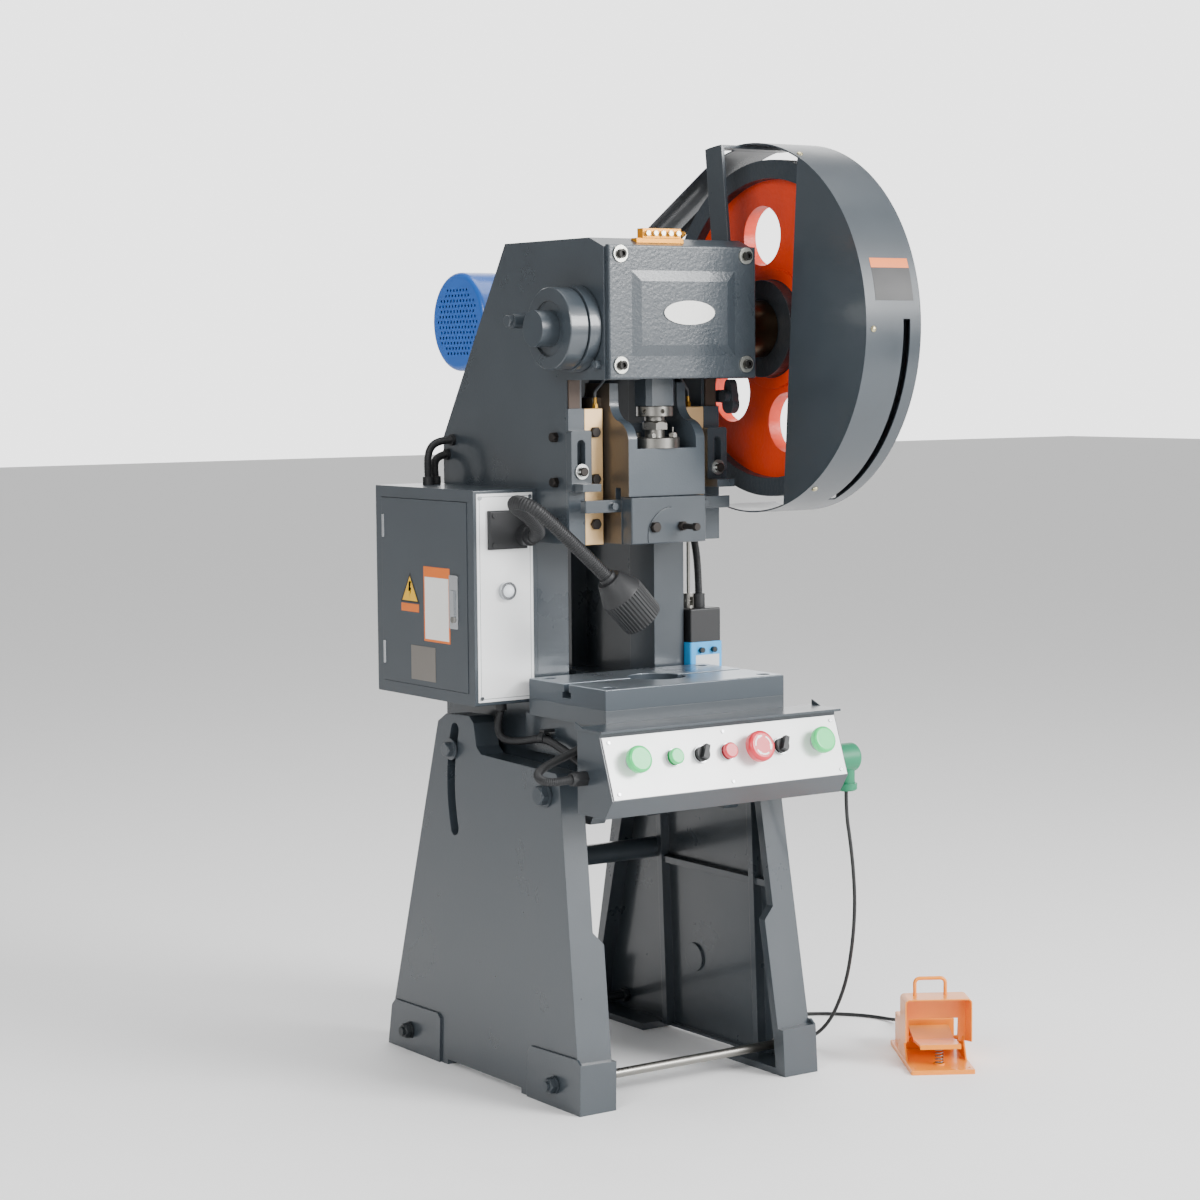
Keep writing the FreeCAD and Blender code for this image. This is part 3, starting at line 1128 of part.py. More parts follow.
# ---------------------------------------------------------------- control box
def box_outline():
    return [(PANEL_TOP_Y, PANEL_TOP_Z), (PANEL_LOW_Y, PANEL_LOW_Z), (BOX_LOW_Y, BOX_BOTTOM),
            (BOX_BACK, BOX_BOTTOM), (BOX_BACK, HOOD_TOP - 4), (PANEL_TOP_Y, HOOD_TOP - 4)]


def control_box():
    """Folded console with its panel sloped back, under a thin rain hood."""
    body = slab_x(box_outline(), -BOX_HALF, BOX_HALF)
    high = panel_point(0, 9, 1)
    low = panel_point(0, panel_span() - 9, 1)
    shell = slab_x([(high.y, high.z), (low.y, low.z),
                    (PANEL_LOW_Y + 6, PANEL_LOW_Z - 1), (BOX_LOW_Y + 3, BOX_BOTTOM + 2),
                    (BOX_BACK - 2, BOX_BOTTOM + 2), (BOX_BACK - 2, HOOD_TOP - 8),
                    (PANEL_TOP_Y + 2, HOOD_TOP - 8)], -BOX_HALF + 2, BOX_HALF - 2)
    hood = box(-HOOD_HALF, HOOD_HALF, HOOD_FRONT, BOX_BACK + 1, HOOD_TOP - 4, HOOD_TOP)
    ears = [slab_x([(BOX_BACK + 1, HOOD_TOP), (BOX_BACK - 22, HOOD_TOP),
                    (BOX_BACK + 1, HOOD_TOP + 9)], s * HOOD_HALF - 2 * (s > 0),
                   s * HOOD_HALF + 2 * (s < 0)) for s in (1, -1)]
    return join([body.cut(shell), hood] + ears)


def panel_span():
    return math.hypot(PANEL_LOW_Y - PANEL_TOP_Y, PANEL_LOW_Z - PANEL_TOP_Z)


def panel_axes():
    """Directions down the panel and out of it."""
    down = V(0, PANEL_LOW_Y - PANEL_TOP_Y, PANEL_LOW_Z - PANEL_TOP_Z).normalize()
    return down, V(0, down.z, -down.y)


def panel_point(x, down_by, out_by=0.0):
    down, out = panel_axes()
    return V(x, PANEL_TOP_Y, PANEL_TOP_Z) + down * down_by + out * out_by


def control_panel():
    t = 2.0
    out = panel_axes()[1]
    span = panel_span()
    corners = [panel_point(x, d) for x, d in ((-BOX_HALF + 3, 1), (BOX_HALF - 3, 1),
                                              (BOX_HALF - 3, span - 1), (-BOX_HALF + 3, span - 1))]
    plate = slab(corners, out * t)
    for x, (radius, _) in zip(BUTTON_XS, button_sizes()):
        plate = plate.cut(rod(panel_point(x, BUTTON_ROW, -5), out, 11.5, 20))
    parts = [plate]
    for x in (-BOX_HALF + 14, 0, BOX_HALF - 14):
        for d in (10, span - 10):
            parts.append(rod(panel_point(x, d, t - 0.1), out, 3, 2))
    sleeves = []
    for x in BUTTON_XS:
        sleeves.append(rod(panel_point(x, BUTTON_ROW, t), out, 14.5, 5)
                       .cut(rod(panel_point(x, BUTTON_ROW, t), out, 10.5, 6)))
    parts += sleeves
    return [join(parts)]


def button_sizes():
    """Head radius and height of each control, left to right."""
    return ((22.5, 12), (13.5, 7), (12.5, 14), (13.5, 7), (26, 15), (12.5, 14), (22.5, 12))


def push_button(index):
    """A plunger through the panel with its head; palm heads are domed."""
    x = BUTTON_XS[index]
    radius, height = button_sizes()[index]
    out = panel_axes()[1]
    lift = 17.0 if radius > 20 else 11.0
    stem = rod(panel_point(x, BUTTON_ROW, -8), out, 10, lift + 8.5)
    head = rod(panel_point(x, BUTTON_ROW, lift), out, radius, height)
    head = head.makeFillet(height * 0.45, edges_where(head, lambda e: e.Length > 50 and
                           (middle(e) - panel_point(x, BUTTON_ROW, lift)).dot(out) > 1))
    return join([stem, head])


def selector(index):
    """Black rotary switch knob with a raised grip."""
    x = BUTTON_XS[index]
    down, out = panel_axes()
    stem = rod(panel_point(x, BUTTON_ROW, -8), out, 10, 16.5)
    disc = rod(panel_point(x, BUTTON_ROW, 8), out, 12.5, 6)
    base = panel_point(x, BUTTON_ROW, 13.5)
    side = V(1, 0, 0)
    corners = [base - side * 4 - down * 14, base + side * 4 - down * 14,
               base + side * 5 + down * 10, base - side * 5 + down * 10]
    grip = slab(corners, out * 10)
    grip = grip.rotate(base, out, -25)
    return join([stem, disc, grip])


def socket_body():
    """Green socket on the right end of the console: flange, round housing, nose."""
    y, z = -160.0, 545.0
    flange = box(BOX_HALF, BOX_HALF + 10, y - 28, y + 28, z - 36, z + 38)
    flange = flange.makeFillet(5.0, edges_where(flange, lambda e: along(e, V(1, 0, 0), 5)))
    shell = rod_x(BOX_HALF + 8, BOX_HALF + 60, y, z + 8, 25)
    shell = shell.makeFillet(6.0, edges_where(shell, lambda e: middle(e).x > BOX_HALF + 50
                                              and e.Length > 100))
    nose = rod_z(PLUG_X, y, z - 36, z + 5, 15)
    return join([flange, shell, nose])


PLUG_X = 286.0
PLUG_Y = -160.0
PLUG_TOP = 509.0


def plug():
    """Gland nut of the foot-switch cable, screwed up under the socket's nose."""
    nut = rod_z(PLUG_X, PLUG_Y, PLUG_TOP - 13, PLUG_TOP, 19)
    nut = nut.makeChamfer(2.5, edges_where(nut, lambda e: e.Length > 100
                                           and middle(e).z < PLUG_TOP - 5))
    return nut


# ---------------------------------------------------------------- conduits
def conduits():
    """Corrugated conduits of the wiring, held between their glands."""
    r = 7.0
    top = CAB_TOP
    runs = [
        [(-214, 392, top + 14), (-215, 394, top + 44), (-205, 398, top + 68),
         (-181, 402, top + 78), (-SIDE_X - 6, 402, top + 78)],
        [(-190, 408, top + 14), (-190, 412, top + 32), (-180, 420, top + 48),
         (-SIDE_X - 6, 421, top + 52)],
        [(75, MOTOR_Y - 52, MOTOR_CABLE_Z), (74, 396, MOTOR_CABLE_Z - 1), (66, 376, 1352), (50, 366, 1306),
         (26, 356, 1254), (-10, 346, 1206), (-52, 340, 1168), (-92, 336, 1150),
         (-SIDE_X + WALL_T + 6, 335, 1147)],
        [(-211, 165, CAB_BOTTOM - 14), (-212, 178, 616), (-206, 172, 589), (-196, 128, 590),
         (-187, 67, 603), (-186, 7, 588), (-192, -46, 573), (-197, -97, 570)],
        [(-272, -140, 563), (-300, -140, 561), (-316, -120, 562), (-304, -86, 570),
         (-262, -66, 580), (-214, -52, 590), (-SKIRT_X - 14, -40, 596)],
        [(ROD_X + 23, ROD_Y, COVER_TOP + 24), (SIDE_X + 46, 152, 880), (SIDE_X + 49, 172, 935),
         (SIDE_X + 45, 196, 980), (SIDE_X + 29, 206, 1004), (SIDE_X + 6, 206, 1004)],
    ]
    return [tube("conduit", run, r) for run in runs]


def conduit_glands():
    parts = []
    for x, y in ((-214, 392), (-190, 408)):
        parts.append(rod_z(x, y, CAB_TOP, CAB_TOP + 14, 10))
    parts.append(rod_z(-211, 165, CAB_BOTTOM - 14, CAB_BOTTOM, 10))
    parts.append(rod_x(-SIDE_X - 6, -SIDE_X, 402, CAB_TOP + 78, 10))
    parts.append(rod_x(-SIDE_X - 6, -SIDE_X, 421, CAB_TOP + 52, 10))
    parts.append(rod_y(75, MOTOR_Y - 52, MOTOR_Y - 42, MOTOR_CABLE_Z, 10))
    parts.append(rod_z(ROD_X + 23, ROD_Y, COVER_TOP, COVER_TOP + 24, 11))
    parts.append(rod_x(SIDE_X, SIDE_X + 6, 206, 1004, 10))
    parts.append(rod_x(-SIDE_X + WALL_T, -SIDE_X + WALL_T + 6, 335, 1147, 10))
    parts.append(hexagon(V(-BOX_HALF, -140, 563), V(-1, 0, 0), 22, 29))
    parts.append(rod_x(-SKIRT_X - 14, -SKIRT_X, -40, 596, 10))
    parts.append(rod_y(-197, BOX_BACK, -97, 570, 10))
    clip = box(-SKIRT_X - 22, -SKIRT_X, 60, 74, 612, 616)
    hoop = ring(V(-SKIRT_X - 17, 60, 603), V(0, 1, 0), 9.5, 7.3, 14)
    parts.append(join([clip, hoop]))
    return parts


def oil_pipes():
    """Brass nipples on the gibs and the plastic tubes that feed them."""
    parts = []
    for sign in (1, -1):
        x = sign * 97
        nipple = join([hexagon(V(x, GIB_FRONT + 8, GIB_TOP), V(0, 0, 1), 9, 9),
                       rod_z(x, GIB_FRONT + 8, GIB_TOP + 8, GIB_TOP + 18, 3.2)])
        parts.append(nipple)
        pipe = [(x, GIB_FRONT + 8, GIB_TOP + 18), (x, GIB_FRONT + 8, GIB_TOP + 28),
                (x - sign * 11, GIB_FRONT + 6, GIB_TOP + 40),
                (x - sign * 27, GIB_FRONT, HEAD_BOTTOM + 14)]
        parts.append(tube("oil pipe", pipe, 2.5))
    return parts


def lubricator():
    """Five-way oil distributor on the head's front bevel, with its end bracket and feed."""
    y, z = -50.0, 1436.0
    body = box(-63, 15, y - 8, y + 8, z + 4, z + 20)
    foot = box(-74, 22, y - 6, y + 10, z - 4, z + 4)
    feet = foot.cut(slab_x([(HEAD_FRONT - 20, HEAD_BEVEL_Z - 8), (HEAD_FRONT, HEAD_BEVEL_Z),
                            (HEAD_BEVEL_Y, HEAD_TOP), (0, HEAD_TOP), (0, 1400),
                            (HEAD_FRONT - 20, 1400)], -200, 200))
    outlets = [rod_y(-55 + 15.5 * k, y - 14, y - 7, z + 12, 4.5) for k in range(5)]
    inlet = join([rod_x(14, 28, y, z + 12, 4), hexagon(V(20, y, z + 12), V(1, 0, 0), 9, 6)])
    return join([body, feet, inlet] + outlets)


# ---------------------------------------------------------------- foot switch
def pedal_place(shape):
    return shape.rotate(V(0, 0, 0), V(0, 0, 1), PEDAL_TURN).translate(PEDAL_AT)


def pedal_base():
    """Tray folded from sheet, with its two side ears, and the switch box at its back."""
    tray = box(0, PEDAL_W, 0, PEDAL_L, 0, PEDAL_BASE_H)
    tray = tray.makeFillet(3.0, edges_where(tray, lambda e: along(e, V(0, 0, 1), 5)))
    tray = tray.makeFillet(1.5, edges_where(tray, lambda e: middle(e).z > PEDAL_BASE_H - 0.5))
    ears = []
    for x0 in (2, PEDAL_W - 5):
        ears.append(slab_x([(66, PEDAL_BASE_H), (150, PEDAL_BASE_H), (140, 66), (126, 66),
                            (84, 30)], x0, x0 + 3))
    tray = join([tray] + ears)
    tray = tray.cut(rod_x(-5, PEDAL_W + 5, TREADLE_PIN_Y, TREADLE_PIN_Z, 4 + RUN_FIT))
    for x in (8, PEDAL_W - 8):
        tray = tray.cut(rod_z(x, 16, -1, PEDAL_BASE_H + 1, 2.7))
    case = box(8, PEDAL_W - 8, 158, PEDAL_L - 6, PEDAL_BASE_H, 62)
    case = case.makeFillet(3.0, edges_where(case, lambda e: middle(e).z > 61))
    gland = rod_y(PEDAL_W / 2, PEDAL_L - 7, PEDAL_L + 8, 30, 8)
    cup = ring(V(PEDAL_W / 2, 42, PEDAL_BASE_H), V(0, 0, 1), 9.5, 8.2, 3)
    return [pedal_place(tray), pedal_place(join([case, gland])), pedal_place(cup)]


def pedal_hood():
    """Guard over the treadle: bent sheet with side cheeks, slotted back and a bar handle."""
    x0, x1 = -(HOOD_W - PEDAL_W) / 2, PEDAL_W + (HOOD_W - PEDAL_W) / 2
    y0, y1 = HOOD_Y, HOOD_Y + HOOD_D
    outer = box(x0, x1, y0, y1, HOOD_Z - 12, HOOD_H)
    outer = outer.makeFillet(8.0, edges_where(outer, lambda e: along(e, V(0, 1, 0), 20)
                                              and middle(e).z > HOOD_H - 1))
    inner = box(x0 + PEDAL_SHEET, x1 - PEDAL_SHEET, y0 - 1, y1 - PEDAL_SHEET,
                HOOD_Z - 20, HOOD_H - PEDAL_SHEET)
    inner = inner.makeFillet(6.0, edges_where(inner, lambda e: along(e, V(0, 1, 0), 20)
                                              and middle(e).z > HOOD_H - 3))
    shell = outer.cut(inner)
    shell = shell.cut(slab_x([(y0 - 1, HOOD_Z - 20), (y1 + 1, HOOD_Z - 20),
                              (y1 + 1, HOOD_Z - 12), (y0 - 1, HOOD_Z)], x0 - 1, x1 + 1))
    shell = shell.cut(box(12, PEDAL_W - 12, y1 - 5, y1 + 5, HOOD_Z - 20, 76))
    cheeks = []
    for x in (x0, x1 - PEDAL_SHEET):
        cheeks.append(slab_x([(y1 - 4, 40), (y1 - 4, 88), (y1 + 30, 60), (y1 + 30, 40)],
                             x, x + PEDAL_SHEET))
    lugs = [box(x0, 2, y1 + 20, y1 + 30, 44, 56), box(PEDAL_W - 2, x1, y1 + 20, y1 + 30, 44, 56)]
    bar = handle_bar(20, 74, HOOD_Y + 38, HOOD_H - 1, 31)
    return pedal_place(join([shell, bar] + cheeks + lugs))


def handle_bar(x0, x1, y, z, height):
    r, bend = 3.2, 9.0
    top = z + height
    corner = bend * (1 - math.sqrt(0.5))
    path = Part.Wire([
        Part.LineSegment(V(x0, y, z), V(x0, y, top - bend)).toShape(),
        Part.Arc(V(x0, y, top - bend), V(x0 + corner, y, top - corner),
                 V(x0 + bend, y, top)).toShape(),
        Part.LineSegment(V(x0 + bend, y, top), V(x1 - bend, y, top)).toShape(),
        Part.Arc(V(x1 - bend, y, top), V(x1 - corner, y, top - corner),
                 V(x1, y, top - bend)).toShape(),
        Part.LineSegment(V(x1, y, top - bend), V(x1, y, z)).toShape()])
    section = Part.Wire([Part.Circle(V(x0, y, z), V(0, 0, 1), r).toShape()])
    return path.makePipeShell([section], True, False)


def treadle():
    """Foot plate on its cross pin, tipped up at the front, its tail under the switch."""
    plate = slab_x([(28, 42), (28, 46), (96, 40), (150, 52), (150, 48), (96, 36)], 20,
                   PEDAL_W - 20)
    nose = slab_x([(26, 38), (28, 46), (31, 46), (29, 38)], 20, PEDAL_W - 20)
    web = slab_x([(100, 38), (136, 48), (134, 28), (120, 28)], 24, 29)
    web2 = slab_x([(100, 38), (136, 48), (134, 28), (120, 28)], PEDAL_W - 29, PEDAL_W - 24)
    pin = rod_x(0, PEDAL_W, TREADLE_PIN_Y, TREADLE_PIN_Z, 4)
    return pedal_place(join([plate, nose, web, web2, pin]))


def treadle_spring():
    """Coil spring between the tray and the foot plate."""
    turns = Part.makeHelix(5.4, 29, 6.6)
    turns.translate(V(PEDAL_W / 2, 42, PEDAL_BASE_H + 1.2))
    start = V(PEDAL_W / 2 + 6.6, 42, PEDAL_BASE_H + 1.2)
    section = Part.Wire([Part.Circle(start, V(0, 1, 0.13), 1.1).toShape()])
    return pedal_place(Part.Wire(turns.Edges).makePipeShell([section], True, True))


CABLE = [(286, -160, 496), (286, -160, 455), (297, -158, 405), (308, -153, 350),
         (317, -146, 295), (324, -134, 242), (332, -116, 192), (342, -92, 144),
         (350, -62, 98), (353, -30, 54), (350, 10, 20), (341, 56, 4.2), (330, 106, 3.6),
         (332, 152, 3.6), (356, 194, 3.6), (398, 222, 3.6), (450, 226, 3.6), (502, 206, 3.6),
         (546, 170, 3.6), (578, 126, 3.6), (590, 76, 4.5), (579, 34, 13),
         (562, -8, 25), (544.4, -49.1, 30), (530.0, -73.1, 30)]


def pedal_cable():
    return tube("foot-switch cable", CABLE, CABLE_R)


# ---------------------------------------------------------------- build
def build():
    screws = socket_screws()
    bolts = guide_bolts()
    posts = brake_bolts() + [trip_pin()]
    save("frame_casting", frame_casting().cut(screws + bolts + posts))
    save("bolster", bolster())
    save("head_cover", head_cover())
    save("socket_screws", screws)
    save("guide_rails", [side.cut(bolts) for side in pair(rail())])
    save("gib_plates", [side.cut(bolts) for side in pair(gib())])
    save("guide_bolts", bolts)
    save("stop_brackets", pair(stop_bracket()))
    save("slide", slide().cut(clamp_bolts()))
    save("shank_clamp", shank_clamp())
    save("clamp_bolts", clamp_bolts())
    save("knockout_bar", knockout_bar())
    save("connecting_rod", connecting_rod())
    save("adjusting_screw", adjusting_screw())
    save("screw_fittings", [lock_ring(), ball_cap()])
    save("crankshaft", crankshaft())
    save("eccentric_bush", eccentric_bush())
    save("brake_drum", brake_drum())
    save("brake_band", brake_band())
    save("head_bolts", posts)
    save("flywheel", flywheel())
    save("motor_pulley", motor_pulley())
    save("drive_belts", [belt(x) for x in BELT_XS])
    save("motor", motor())
    save("motor_bracket", motor_bracket())
    guard = flywheel_guard()
    save("flywheel_guard", guard)
    save("guard_straps", [strap.cut(guard) for strap in guard_straps()])
    save("trip_lever", trip_lever())
    save("pull_rod", pull_rod())
    save("solenoid_box", solenoid_box())
    right_leg = leg()
    save("right_leg", right_leg)
    save("left_leg", mirror(right_leg))
    save("cross_tube", cross_tube())
    save("tie_rods", tie_rods() + leg_fasteners())
    save("slot_bolts", slot_bolts())
    save("cabinet", cabinet())
    save("cabinet_door", cabinet_door())
    save("cabinet_panel", cabinet_panel())
    neck = tube("gooseneck", NECK, NECK_R)
    save("lamp_base", lamp_base().cut(neck))
    save("gooseneck", neck)
    save("lamp_head", [piece.cut(neck) for piece in lamp_head()])
    save("control_box", control_box())
    save("control_panel", control_panel())
    names = ("left_palm_button", "start_button", "mode_selector", "stop_button",
             "emergency_stop", "speed_selector", "right_palm_button")
    for index, name in enumerate(names):
        save(name, selector(index) if name.endswith("selector") else push_button(index))
    save("cable_socket", [socket_body(), plug()])
    runs = conduits()
    save("conduits", runs)
    save("conduit_glands", [gland.cut(runs) for gland in conduit_glands()])
    save("oil_pipes", oil_pipes())
    save("lubricator", lubricator())
    tray = pedal_base()
    save("pedal_base", tray)
    save("pedal_hood", pedal_hood().cut(tray))
    save("treadle", treadle())
    save("treadle_spring", treadle_spring())
    save("pedal_cable", pedal_cable())


build()
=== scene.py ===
import math

import bmesh
import bpy
from mathutils import Matrix, Vector


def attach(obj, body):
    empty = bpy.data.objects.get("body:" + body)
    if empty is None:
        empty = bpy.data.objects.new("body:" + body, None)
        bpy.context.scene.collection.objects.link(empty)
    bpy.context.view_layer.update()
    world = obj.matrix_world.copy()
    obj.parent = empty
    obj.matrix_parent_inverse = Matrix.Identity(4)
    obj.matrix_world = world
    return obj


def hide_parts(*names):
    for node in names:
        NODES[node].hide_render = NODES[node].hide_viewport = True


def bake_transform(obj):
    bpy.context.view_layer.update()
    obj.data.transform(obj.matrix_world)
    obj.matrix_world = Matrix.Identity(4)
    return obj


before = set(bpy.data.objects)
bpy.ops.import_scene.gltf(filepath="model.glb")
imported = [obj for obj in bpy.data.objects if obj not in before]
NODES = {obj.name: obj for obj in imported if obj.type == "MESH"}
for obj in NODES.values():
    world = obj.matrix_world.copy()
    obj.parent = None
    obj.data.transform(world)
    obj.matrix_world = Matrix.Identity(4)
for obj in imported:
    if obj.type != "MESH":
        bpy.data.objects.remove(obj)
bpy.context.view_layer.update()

# Places that finishes and added pieces share, in metres.
DOOR_FACE = -0.283           # cabinet door's outer face
CRANK_Z = 1.291              # crankshaft's axis, which is the flywheel's and the guard's too
GUARD_R = 0.318              # guard band's outer radius
COVER_Z = 1.321              # middle of the head cover's four screws
BRACKET_Z = 1.053            # stop brackets' bolts
TABLE_EDGE_Z = 0.6986        # where the bolster's ground top ends and its painted sides begin

# Console panel: the middle of its top edge, the way down its face and the way out of it.
PANEL_TOP = Vector((0, -0.181, 0.633))
PANEL_DOWN = Vector((0, -0.036, -0.099)).normalized()
PANEL_OUT = Vector((0, PANEL_DOWN.z, -PANEL_DOWN.y))

# Paint and steel colours that more than one piece has.
ENAMEL, POWDER, FILLED = "#343b41", "#363d43", "#3c444b"
STEEL, PANEL, RED, BLACK = "#8d8b86", "#e9eaea", "#d5263a", "#17181a"


def linked(name, data):
    """A new object in the scene that holds the data."""
    obj = bpy.data.objects.new(name, data)
    bpy.context.collection.objects.link(obj)
    return obj


# Camera: level with the middle of the press, in front and to its left, with the long lens of a
# catalogue picture; it leans by half a degree.
turn, dip, roll = math.radians(34.35), math.radians(4.84), math.radians(0.51)
forward = Vector((math.sin(turn) * math.cos(dip), math.cos(turn) * math.cos(dip), -math.sin(dip)))
right = Vector((math.cos(turn), -math.sin(turn), 0))
down = forward.cross(right)
side = right * math.cos(roll) + down * math.sin(roll)
above = right * math.sin(roll) - down * math.cos(roll)
camera_data = bpy.data.cameras.new("camera")
camera_data.lens, camera_data.sensor_width = 82.6, 36.0
camera_data.clip_end = 60.0
camera = linked("camera", camera_data)
camera.matrix_world = Matrix.Translation((-2.7182, -3.8080, 1.2276)) @ Matrix(
    (side, above, -forward)).transposed().to_4x4()
bpy.context.scene.camera = camera


def hexa(code):
    """An sRGB hex colour as the linear values, with full alpha, that Blender works in."""
    parts = [int(code[i:i + 2], 16) / 255 for i in (1, 3, 5)]
    linear = [c / 12.92 if c <= 0.04045 else ((c + 0.055) / 1.055) ** 2.4 for c in parts]
    return (*linear, 1.0)


def add(tree, kind, links=None, **settings):
    """A node with its settings; links maps an input to a socket or to a constant."""
    made = tree.nodes.new(kind)
    for key, value in settings.items():
        setattr(made, key, value)
    for key, value in (links or {}).items():
        if isinstance(value, bpy.types.NodeSocket):
            tree.links.new(value, made.inputs[key])
        else:
            made.inputs[key].default_value = value
    return made


def finish_of(name, colour, rough, metallic=0.0, grain=0.003, depth=0.0001, spread=0.06,
              edge=0.0008, coat=0.0, stretch=(1, 1, 1)):
    """A surface with fine grain in its normal and slow changes of tone and gloss.

    grain, depth and edge are real sizes in metres; stretch draws the grain out along an axis."""
    material = bpy.data.materials.new(name)
    material.use_nodes = True
    tree = material.node_tree
    tree.nodes.clear()
    place = add(tree, "ShaderNodeTexCoord").outputs["Object"]
    drawn = add(tree, "ShaderNodeMapping", {"Vector": place, "Scale": stretch}).outputs[0]
    fine = add(tree, "ShaderNodeTexNoise", {"Vector": drawn, "Scale": 1 / grain, "Detail": 3.0,
                                            "Roughness": 0.5})
    slow = add(tree, "ShaderNodeTexNoise", {"Vector": place, "Scale": 9.0, "Detail": 5.0,
                                            "Roughness": 0.6})
    tone = add(tree, "ShaderNodeMapRange", {"Value": slow.outputs[0], "From Min": 0.3,
                                            "From Max": 0.7, "To Min": 1 - spread,
                                            "To Max": 1 + spread}).outputs[0]
    base = add(tree, "ShaderNodeVectorMath", {0: hexa(colour)[:3], "Scale": tone},
               operation="SCALE").outputs[0]
    gloss = add(tree, "ShaderNodeMapRange", {"Value": slow.outputs[0], "From Min": 0.3,
                                             "From Max": 0.7, "To Min": rough * 0.85,
                                             "To Max": rough * 1.2}).outputs[0]
    rounded = add(tree, "ShaderNodeBevel", {"Radius": edge}, samples=4).outputs[0]
    bump = add(tree, "ShaderNodeBump", {"Height": fine.outputs[0], "Distance": depth,
                                        "Strength": 1.0, "Normal": rounded}).outputs[0]
    shader = add(tree, "ShaderNodeBsdfPrincipled", {
        "Base Color": base, "Roughness": gloss, "Metallic": metallic, "Normal": bump,
        "Coat Weight": coat, "Coat Roughness": 0.12})
    add(tree, "ShaderNodeOutputMaterial", {"Surface": shader.outputs[0]})
    return material, tree, shader, place


def patch(tree, shader, where, colour, rough, metallic):
    """Where the mask is 1 the surface takes another colour, roughness and metal."""
    for name, value in (("Base Color", hexa(colour)), ("Roughness", rough), ("Metallic", metallic)):
        socket = shader.inputs[name]
        kind = "RGBA" if name == "Base Color" else "FLOAT"
        first, second = (6, 7) if kind == "RGBA" else (2, 3)
        before = socket.links[0].from_socket if socket.links else socket.default_value
        mixed = add(tree, "ShaderNodeMix", {0: where, first: before, second: value}, data_type=kind)
        tree.links.new(mixed.outputs[2 if kind == "RGBA" else 0], socket)


def math_of(tree, operation, first, second=0.0):
    """One step of arithmetic on sockets or constants."""
    return add(tree, "ShaderNodeMath", {0: first, 1: second}, operation=operation).outputs[0]


def over(tree, value, limit):
    """Mask that is 1 where the value is greater than the limit."""
    return math_of(tree, "GREATER_THAN", value, limit)


def under(tree, value, limit):
    """Mask that is 1 where the value is less than the limit."""
    return math_of(tree, "LESS_THAN", value, limit)


def times(tree, *values):
    """The product of the values; of masks, the area that all of them cover."""
    product = values[0]
    for value in values[1:]:
        product = math_of(tree, "MULTIPLY", product, value)
    return product


def beyond(tree, value, half, middle=0.0):
    """How far a value lies outside the span of half on each side of the middle."""
    centred = math_of(tree, "SUBTRACT", value, middle) if middle else value
    return math_of(tree, "SUBTRACT", math_of(tree, "ABSOLUTE", centred), half)


def apart(tree, value, middle):
    """How far a value lies from the middle, on either side."""
    return math_of(tree, "ABSOLUTE", math_of(tree, "SUBTRACT", value, middle))


def reach_of(tree, first, second):
    """Distance from the origin of the plane in which the two values lie."""
    return math_of(tree, "SQRT", math_of(tree, "ADD", times(tree, first, first),
                                         times(tree, second, second)))


def dot_of(tree, place, axis):
    """How far a place lies along an axis."""
    return add(tree, "ShaderNodeVectorMath", {0: place, 1: tuple(axis)},
               operation="DOT_PRODUCT").outputs["Value"]


def from_point(tree, place, point):
    """A place as seen from a point."""
    return add(tree, "ShaderNodeVectorMath", {0: place, 1: tuple(point)},
               operation="SUBTRACT").outputs[0]


def xyz(tree, place):
    """The three coordinates of a place."""
    return add(tree, "ShaderNodeSeparateXYZ", {0: place}).outputs


def dress(material, *names):
    """Gives the named nodes one material."""
    for name in names:
        NODES[name].data.materials.clear()
        NODES[name].data.materials.append(material)


# Foot-switch cable: black rubber-sheathed three-core cord, hanging from the console's socket in an
# easy bow and lying on the floor round the back of the right leg to the foot switch. The upper end
# follows the press when it is inclined; here the cable is one swept mesh.
ROUTE = [(286, -160, 496), (286, -160, 455), (297, -158, 405), (308, -153, 350),
         (317, -146, 295), (324, -134, 242), (332, -116, 192), (342, -92, 144),
         (350, -62, 98), (353, -30, 54), (350, 10, 20), (341, 56, 4.2), (330, 106, 3.6),
         (332, 152, 3.6), (356, 194, 3.6), (398, 222, 3.6), (450, 226, 3.6), (502, 206, 3.6),
         (546, 170, 3.6), (578, 126, 3.6), (590, 76, 4.5), (579, 34, 13),
         (562, -8, 25), (544.4, -49.1, 30), (530.0, -73.1, 30)]


def nurbs(name, route, radius):
    """A round tube along a route given in millimetres."""
    data = bpy.data.curves.new(name, "CURVE")
    data.dimensions = "3D"
    data.bevel_depth = radius
    data.bevel_resolution = 5
    data.use_fill_caps = True
    line = data.splines.new("NURBS")
    line.points.add(len(route) - 1)
    for point, place in zip(line.points, route):
        point.co = (*(value / 1000 for value in place), 1)
    line.order_u = 3
    line.use_endpoint_u = True
    line.resolution_u = 10
    line.use_smooth = True
    return linked(name, data)


def as_mesh(obj):
    """The evaluated object as a plain mesh object of the same name."""
    graph = bpy.context.evaluated_depsgraph_get()
    mesh = bpy.data.meshes.new_from_object(obj.evaluated_get(graph), depsgraph=graph)
    name = obj.name
    bpy.data.objects.remove(obj)
    return linked(name, mesh)


CABLE_R = 0.0033
centre = [v.co.copy() for v in as_mesh(nurbs("cable_line", ROUTE, 0.0)).data.vertices]
bpy.data.objects.remove(bpy.data.objects["cable_line"])
cable = as_mesh(nurbs("pedal_cable_tube", ROUTE, CABLE_R))
cable_black, *_ = finish_of("black cable sheath", "#1c1d1e", 0.45, grain=0.0015, depth=0.00004)
cable.data.materials.clear()
cable.data.materials.append(cable_black)
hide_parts("pedal_cable")
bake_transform(cable)


